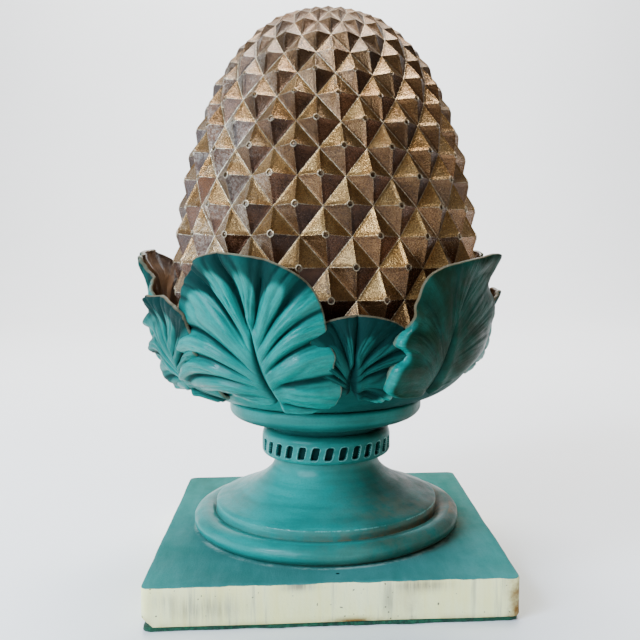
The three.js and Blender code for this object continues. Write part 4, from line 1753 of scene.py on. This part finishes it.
@dataclass
class Calyx(Builder):
    """Two rings of pleated leaves round the foot of the cone, and the cup that they grow from.

    Attributes:
        root: Radius of the cup at the dish.
        swell: How far it swells.
        climb: Height over which it swells.
        power: How fast it swells.
        front: Azimuth of the first big leaf, in degrees.
        spacing: Turn from one big leaf to the next, in degrees.
        big_proud: How far the big leaves stand off the cup's line.
        core_inset: How far the cup that is built lies inside its line.
        core_height: Height of the cup that is built.
        brim: Width of the part of a leaf that its margin lifts most.
        trough: Depth and width of the trough round a midrib.
        across: Points from root to tip of a half leaf.
        along: Points from midrib to margin.
    """

    root: float = 71.0
    swell: float = 60.0
    climb: float = 62.0
    power: float = 2.2
    front: float = -24.8
    spacing: float = 72.0
    big_proud: float = 2.4
    core_inset: float = 7.0
    core_height: float = 45.0
    brim: float = 24.0
    trough: float = 2.6
    across: int = 132
    along: int = 40

    def cup_radius(self, up: Array) -> Array:
        """Radius of the cup's line at heights over the dish: it swells as a power of height."""
        left = np.maximum(1 - up / self.climb, 0)
        return self.root + self.swell * np.sqrt(1 - left**self.power)

    def cup(self) -> Contour:
        """The cup's line, which stands upright above its swell.

        Returns:
            The line, from the dish up.
        """
        up = np.linspace(0, 1, 600) ** 2.2 * self.climb
        radius = self.cup_radius(up)
        return Contour(np.append(radius, radius[-1]), self.levels.dish_top + np.append(up, 170.0))

    def build(self) -> None:
        """Builds the cup and ten leaves."""
        cup = self.cup()
        big = {
            "leaf_front_left": (BROAD_CUT, 0),
            "leaf_front_right": (CURLED_CUT, 1),
            "leaf_back_right": (BROAD_CUT.trimmed(0.6).mirrored(), 2),
            "leaf_back": (CURLED_CUT, 3),
            "leaf_back_left": (replace(BROAD_CUT, glaze_and_shade=0.2).trimmed(0.62), 4),
        }
        for name, (cut, step) in big.items():
            self.leaf(name, cut, cup, self.front + self.spacing * step, self.big_proud)
        small = {
            "small_leaf_front": (SMALL_CUT, 0.5, -3.6),
            "small_leaf_right": (HOOKED_CUT, 1.5, -2.0),
            "small_leaf_back_right": (SMALL_CUT, 2.5, -3.6),
            "small_leaf_back_left": (RUFFLED_CUT.mirrored(), 3.5, -2.0),
            "small_leaf_left": (DRAPED_CUT, 4.5, 1.0),
        }
        for name, (cut, step, proud) in small.items():
            self.leaf(name, cut, cup, self.front + self.spacing * step, proud)
        self.core()

    def core(self) -> None:
        """Builds the cup behind the leaves, inside the line that they lie on, in painted shade that
        deepens to the right.
        """
        up = np.linspace(0, 1, 30) ** 1.6 * self.core_height
        radius = self.cup_radius(up) - self.core_inset
        top = self.levels.dish_top
        wall = np.stack([radius, top + up], -1)
        floor = [[0, top - 2], [radius[0], top - 2]]
        line = np.concatenate([floor, wall, [[0, top + self.core_height]]])
        surface = turned(line, 200)
        right = rise(surface.points[:, 0], -60, 40)
        none = np.zeros(len(right))
        # Painted shade under the leaves, deeper to the right.
        surface.marks = {
            "painted_shade": 0.35 + 0.4 * right,
            "olive_glaze_and_shade": 0.1 + 0.4 * right,
            "edge": none + FAR,
            "dirt": none,
        }
        settle(surface.make("calyx_cup"), self.finishes.turned_teal, CASTING)

    def relief(self, cut: LeafCut, right: bool, folds: Folds, lift: Array) -> Array:
        """Height of one half over the cup's line.

        A fold's cross section is the root of a sine, so its ridges are round and its grooves
        narrow. The midrib lies in a trough with a bank beside it.

        Args:
            cut: The leaf's cut.
            right: True for the right half.
            folds: Its folds.
            lift: How far the margin is lifted, by column.

        Returns:
            The height, by row and column.
        """
        form, v = RIGHT_FORM if right else LEFT_FORM, folds.out
        fold = cut.depth * (folds.ridge**0.55 - 0.64) * folds.strength
        fold = fold + cut.depth * 0.18 * (folds.minor**0.6 - 0.6) * rise(v, 0.1, 0.5)
        brim = 1 - rise(folds.from_margin, 0, self.brim)
        lifted = lift * (0.4 * rise(v, 0.35, 1.0) + 0.6 * brim)
        swell = cut.belly * np.sin(math.pi * np.clip(v, 0, 1)) ** 0.8
        trough = -self.trough * bell(folds.from_midrib, self.trough)
        bank = form.bank * bell(folds.from_midrib - 5.5, 4.0)
        tucked = np.zeros_like(folds.from_midrib)
        if cut.turn_in and not right:
            quarter = np.sqrt(1 - np.clip(1 - folds.from_margin / 7, 0, 1) ** 2)
            tucked = -cut.turn_in * (1 - quarter) * folds.roll
        veins = cut.vein * bell(folds.line, 0.07) * folds.strength
        carved = (trough + bank) * (1 - 0.6 * min(cut.vein, 1.0))
        return fold + lifted + swell + carved + tucked + veins

    def shades_and_glaze(self, cut: LeafCut, right: bool, folds: Folds) -> tuple[Array, Array]:
        """Painted shade in the grooves and in a ragged band below the tip, and dark green.

        Args:
            cut: The leaf's cut.
            right: True for the right half.
            folds: Its folds.

        Returns:
            Share of painted shade, and share of dark green that is part glazing and part painted
            shade.
        """
        from_margin, share = folds.from_margin, folds.share
        veined = min(cut.vein, 1.0)
        fine = np.abs(np.arcsin(folds.minor)) / math.pi
        # Painted shade in the grooves and along the midrib.
        groove = bell(folds.line, 0.08) * 0.95 + bell(folds.line, 0.25) * 0.42
        groove = groove * folds.strength + bell(fine, 0.1) * rise(folds.out, 0.1, 0.5) * 0.26
        groove = groove * (1 - 0.85 * veined)
        jagged = 9 + 24 * (1 - folds.ridge) ** 1.4
        band = (1 - rise(from_margin, jagged, jagged + 9)) * rise(share, 0.58, 0.74) * (1 - veined)
        middle = bell(folds.from_midrib, 3.2) * (1 - 0.7 * veined)
        painted_shade = np.clip(groove + middle + band * 0.7 + cut.shade_all_over, 0, 1)
        olive_glaze_and_shade = np.full_like(painted_shade, cut.glaze_and_shade)
        # Margins that turn to the light are kept free of painted shade.
        if cut.turn_in and not right:
            bright = (1 - rise(from_margin, 2.5, 6.0)) * folds.roll
            olive_glaze_and_shade = olive_glaze_and_shade * (1 - bright)
            painted_shade = painted_shade * (1 - bright)
        if cut.lit and right:
            low = 1 - rise(share, 0.45, 0.62)
            bright = (1 - rise(from_margin, 0.3 * cut.lit, cut.lit)) * low
            olive_glaze_and_shade = olive_glaze_and_shade * (1 - bright)
            painted_shade = painted_shade * (1 - 0.9 * bright)
        return painted_shade, olive_glaze_and_shade

    def half(self, cut: LeafCut, right: bool, share: Array, out: Array) -> dict[str, Array]:
        """One half of a leaf, from midrib to margin.

        A fold runs from a point of the midrib to a point of the margin, on a bowed line.

        Args:
            cut: The leaf's cut.
            right: True for the right half.
            share: Places from root to tip, one per column.
            out: Places from midrib to margin, one per row.

        Returns:
            Side, length, offset, glazes, distance to the margin and flow, by row and column.
        """
        form = RIGHT_FORM if right else LEFT_FORM
        margin = smooth_line(np.array(cut.right if right else cut.left, float), share)
        station = 0.02 + form.reach * share**form.gather
        midrib = np.array(cut.midrib, float)
        start = smooth_line(midrib, station)
        ahead = unit(smooth_line(midrib, station + 0.02) - start)
        span = margin[:, :2] - start
        size = np.linalg.norm(span, axis=1)
        bow = form.bow * np.sin(share * math.pi) ** 0.7
        bend = start + span * 0.5 + ahead * (size * bow)[:, None]
        v = out[:, None, None]
        flat = (1 - v) ** 2 * start + 2 * v * (1 - v) * bend + v**2 * margin[:, :2]
        v = out[:, None]
        warp = 0.35 * np.sin(share * 9.0 + form.sway) * np.sin(share * math.pi)
        phase = share * cut.folds[int(right)] + warp
        strength = rise(v, 0.02, 0.4) * (1 - 0.3 * v)
        if not right:
            strength = strength * (0.4 + 0.6 * rise(share, 0.14, 0.42))
        ridge = np.abs(np.sin(math.pi * phase))
        minor = np.abs(np.sin(math.pi * (phase * 3 + 0.5 * np.sin(v * 3 + share * 20))))
        folds = Folds(share, v, phase, ridge, minor, strength, v * size, (1 - v) * size)
        painted_shade, olive_glaze_and_shade = self.shades_and_glaze(cut, right, folds)
        return {
            "side": flat[..., 0],
            "length": flat[..., 1],
            "offset": self.relief(cut, right, folds, margin[:, 2]),
            "painted_shade": painted_shade,
            "olive_glaze_and_shade": olive_glaze_and_shade,
            "rim": folds.from_margin,
            "u": np.broadcast_to(phase if right else -phase, painted_shade.shape),
            "v": np.broadcast_to(v * 3.0, painted_shade.shape),
        }

    def leaf(self, name: str, cut: LeafCut, cup: Contour, azimuth: float, proud: float) -> None:
        """Builds one leaf: an outer face, an inner face and a rounded rim between them.

        Args:
            name: Name of the piece.
            cut: Its cut.
            cup: The line that it lies on.
            azimuth: Where it stands, in degrees.
            proud: How far it stands off the line.
        """
        share = np.linspace(0, 1, self.across)
        out = np.linspace(0, 1, self.along) ** 0.9
        left, right = self.half(cut, False, share, out), self.half(cut, True, share, out)
        sheet = {key: np.concatenate([left[key], right[key][:, ::-1]], axis=1) for key in left}
        radius = self.root + self.swell
        turn = math.radians(azimuth) + sheet["side"] / radius
        v = out[:, None]
        thick = cut.thickness + 4.5 * (1 - v) ** 2
        outer = cup.place(sheet["length"], proud + sheet["offset"], turn)
        inner = cup.place(sheet["length"], proud + sheet["offset"] * 0.92 - thick, turn)
        past = unit(outer[-1] - outer[-3]) * cut.thickness * 0.35
        brim = (outer[-1] + inner[-1]) / 2 + past
        layers = np.concatenate([outer, brim[None], inner[::-1]])
        rows, columns = layers.shape[:2]
        body = grid_triangles(rows, columns)
        seam = self.end_strips(rows, columns, self.along)
        face = {key: np.concatenate([each, each[-1:], each[::-1]]) for key, each in sheet.items()}
        inside = np.concatenate([np.zeros(self.along), [0.5], np.ones(self.along)])
        inside = inside[:, None] * np.ones(columns)
        # The outer face carries the painted shade and the dark green; the inner face has no painted
        # shade.
        surface = Surface(
            layers.reshape(-1, 3),
            np.concatenate([body, seam]),
            {
                "painted_shade": face["painted_shade"].reshape(-1) * (1 - inside.reshape(-1)),
                "olive_glaze_and_shade": face["olive_glaze_and_shade"].reshape(-1),
                "edge": np.full(rows * columns, FAR),
                "dirt": np.zeros(rows * columns),
                "inner": inside.reshape(-1),
                "rim": face["rim"].reshape(-1),
            },
            flow=np.stack([face["u"], face["v"]], -1).reshape(-1, 2),
        )
        settle(surface.make(name, 75.0), self.finishes.leaf, CASTING)

    def end_strips(self, rows: int, columns: int, along: int) -> Array:
        """Joins outer and inner face along the two short ends by the root.

        Args:
            rows: Rows of both faces and the brim.
            columns: Points in a row.
            along: Rows of one face.

        Returns:
            Three point numbers per triangle.
        """
        step = np.arange(along - 1)
        strips = []
        for column, turn in ((0, 1), (columns - 1, -1)):
            a, b = step * columns + column, (step + 1) * columns + column
            c, d = (rows - 2 - step) * columns + column, (rows - 1 - step) * columns + column
            strips.append(np.stack([a, b, c], -1)[:, ::turn])
            strips.append(np.stack([a, c, d], -1)[:, ::turn])
        last = np.array([(along - 1) * columns, along * columns, (along + 1) * columns])
        strips.append(last[None])
        strips.append((last[::-1] + columns - 1)[None])
        return np.concatenate(strips)


@dataclass
class Studio:
    """Camera, floor and soft lights.

    Attributes:
        stand: Place of the camera, in metres.
        way: Level direction in which it looks.
        pitch: How far it looks down, in degrees.
        roll: Its roll, in degrees.
        lens: Focal length for a 36 mm sensor.
        shift: Sideways shift of the frame.
    """

    stand: Triple = (-0.0180, -0.6554, 0.2581)
    way: Pair = (0.0576, 0.9983)
    pitch: float = 5.603
    roll: float = -0.3
    lens: float = 46.38
    shift: float = -0.0469

    def build(self) -> None:
        """Sets up the camera, the lights, the floor and the air round them."""
        self.camera()
        self.light("window", (-1.15, -1.1, 0.85), 1.1, 48.0, shade(212, 232, 255))
        self.light("pane", (-0.95, -0.75, 1.25), 0.3, 14.0, shade(206, 228, 255))
        self.light("side window", (-1.5, 0.2, 0.45), 0.8, 8.0, shade(214, 232, 255))
        self.light("ceiling", (-0.2, -0.35, 1.8), 1.2, 4.0, shade(255, 250, 242))
        self.light("room", (1.4, -1.0, 0.6), 1.2, 0.9, shade(255, 206, 150))
        self.light("backdrop", (0.0, 0.9, 2.6), 1.6, 210.0, shade(255, 255, 255), (0.0, 2.4, 0.7))
        self.floor()
        self.air()

    def camera(self) -> None:
        """Places the camera: its axes come from the level direction, the pitch and the roll."""
        data = bpy.data.cameras.new("photo camera")
        data.sensor_width = 36.0
        data.lens = self.lens
        data.shift_x = self.shift
        data.clip_start = 0.02
        pitch, roll = math.radians(self.pitch), math.radians(self.roll)
        level = math.cos(pitch)
        forward = Vector((self.way[0] * level, self.way[1] * level, -math.sin(pitch))).normalized()
        right = forward.cross(Vector((0, 0, 1))).normalized()
        up = right.cross(forward)
        tilted = right * math.cos(roll) + up * math.sin(roll)
        upright = up * math.cos(roll) - right * math.sin(roll)
        axes = Matrix((tilted, upright, -forward)).transposed()
        camera = bpy.data.objects.new("photo camera", data)
        camera.matrix_world = Matrix.Translation(self.stand) @ axes.to_4x4()
        bpy.context.scene.collection.objects.link(camera)
        bpy.context.scene.camera = camera

    def light(
        self,
        name: str,
        place: Triple,
        size: float,
        power: float,
        colour: Colour,
        target: Triple = (0.0, 0.0, 0.2),
    ) -> None:
        """Adds a soft box.

        Args:
            name: Name of the light.
            place: Where it stands, in metres.
            size: Side of the box, in metres.
            power: Its power in watts.
            colour: Its colour.
            target: Point that it faces.
        """
        data = bpy.data.lights.new(name, "AREA")
        data.size = size
        data.energy = power
        data.color = colour
        lamp = bpy.data.objects.new(name, data)
        turn = (Vector(target) - Vector(place)).to_track_quat("-Z", "Y")
        lamp.matrix_world = Matrix.Translation(place) @ turn.to_matrix().to_4x4()
        bpy.context.scene.collection.objects.link(lamp)

    def floor(self) -> None:
        """Lays a wide pale floor that sweeps up behind: flat, a quarter round, then upright."""
        mesh = bpy.data.meshes.new("floor")
        turn = np.radians(np.linspace(0, 90, 19))
        depth = np.concatenate([[-5.0, 0.0], 1.9 + np.sin(turn), [2.9]])
        height = np.concatenate([[0.0, 0.0], 1 - np.cos(turn), [4.5]])
        across = np.linspace(-5.0, 5.0, 3)
        x, y, z = np.broadcast_arrays(across, depth[:, None], height[:, None])
        points = np.stack([x, y, z], -1).reshape(-1, 3)
        faces = grid_triangles(len(depth), 3)[:, ::-1]
        mesh.from_pydata(points.tolist(), [], faces.tolist())
        mesh.shade_smooth()
        floor = bpy.data.objects.new("floor", mesh)
        bpy.context.scene.collection.objects.link(floor)
        material, sheet, shader = started("pale floor")
        cloud = sheet.noise(sheet.place(), 3.0)
        tone = sheet.mix(cloud, shade(238, 238, 238), shade(244, 244, 243))
        sheet.feed(shader.inputs["Base Color"], tone)
        shader.inputs["Roughness"].default_value = 0.9
        mesh.materials.append(material)

    def air(self) -> None:
        """Gives the surroundings an even pale light."""
        world = bpy.data.worlds.new("studio")
        world.use_nodes = True
        backdrop = world.node_tree.nodes["Background"]
        backdrop.inputs["Color"].default_value = (*shade(246, 248, 250), 1.0)
        backdrop.inputs["Strength"].default_value = 0.16
        bpy.context.scene.world = world


def main() -> None:
    """Builds the finial from the floor up, and the studio round it."""
    logging.basicConfig(level=logging.INFO, format="%(name)s %(message)s")
    finishes = Finishes()
    levels = Heights()
    for builder in (Plinth, Socle, Calyx, PineCone):
        builder(levels, finishes).build()
    Studio().build()


if __name__ == "__main__":
    main()
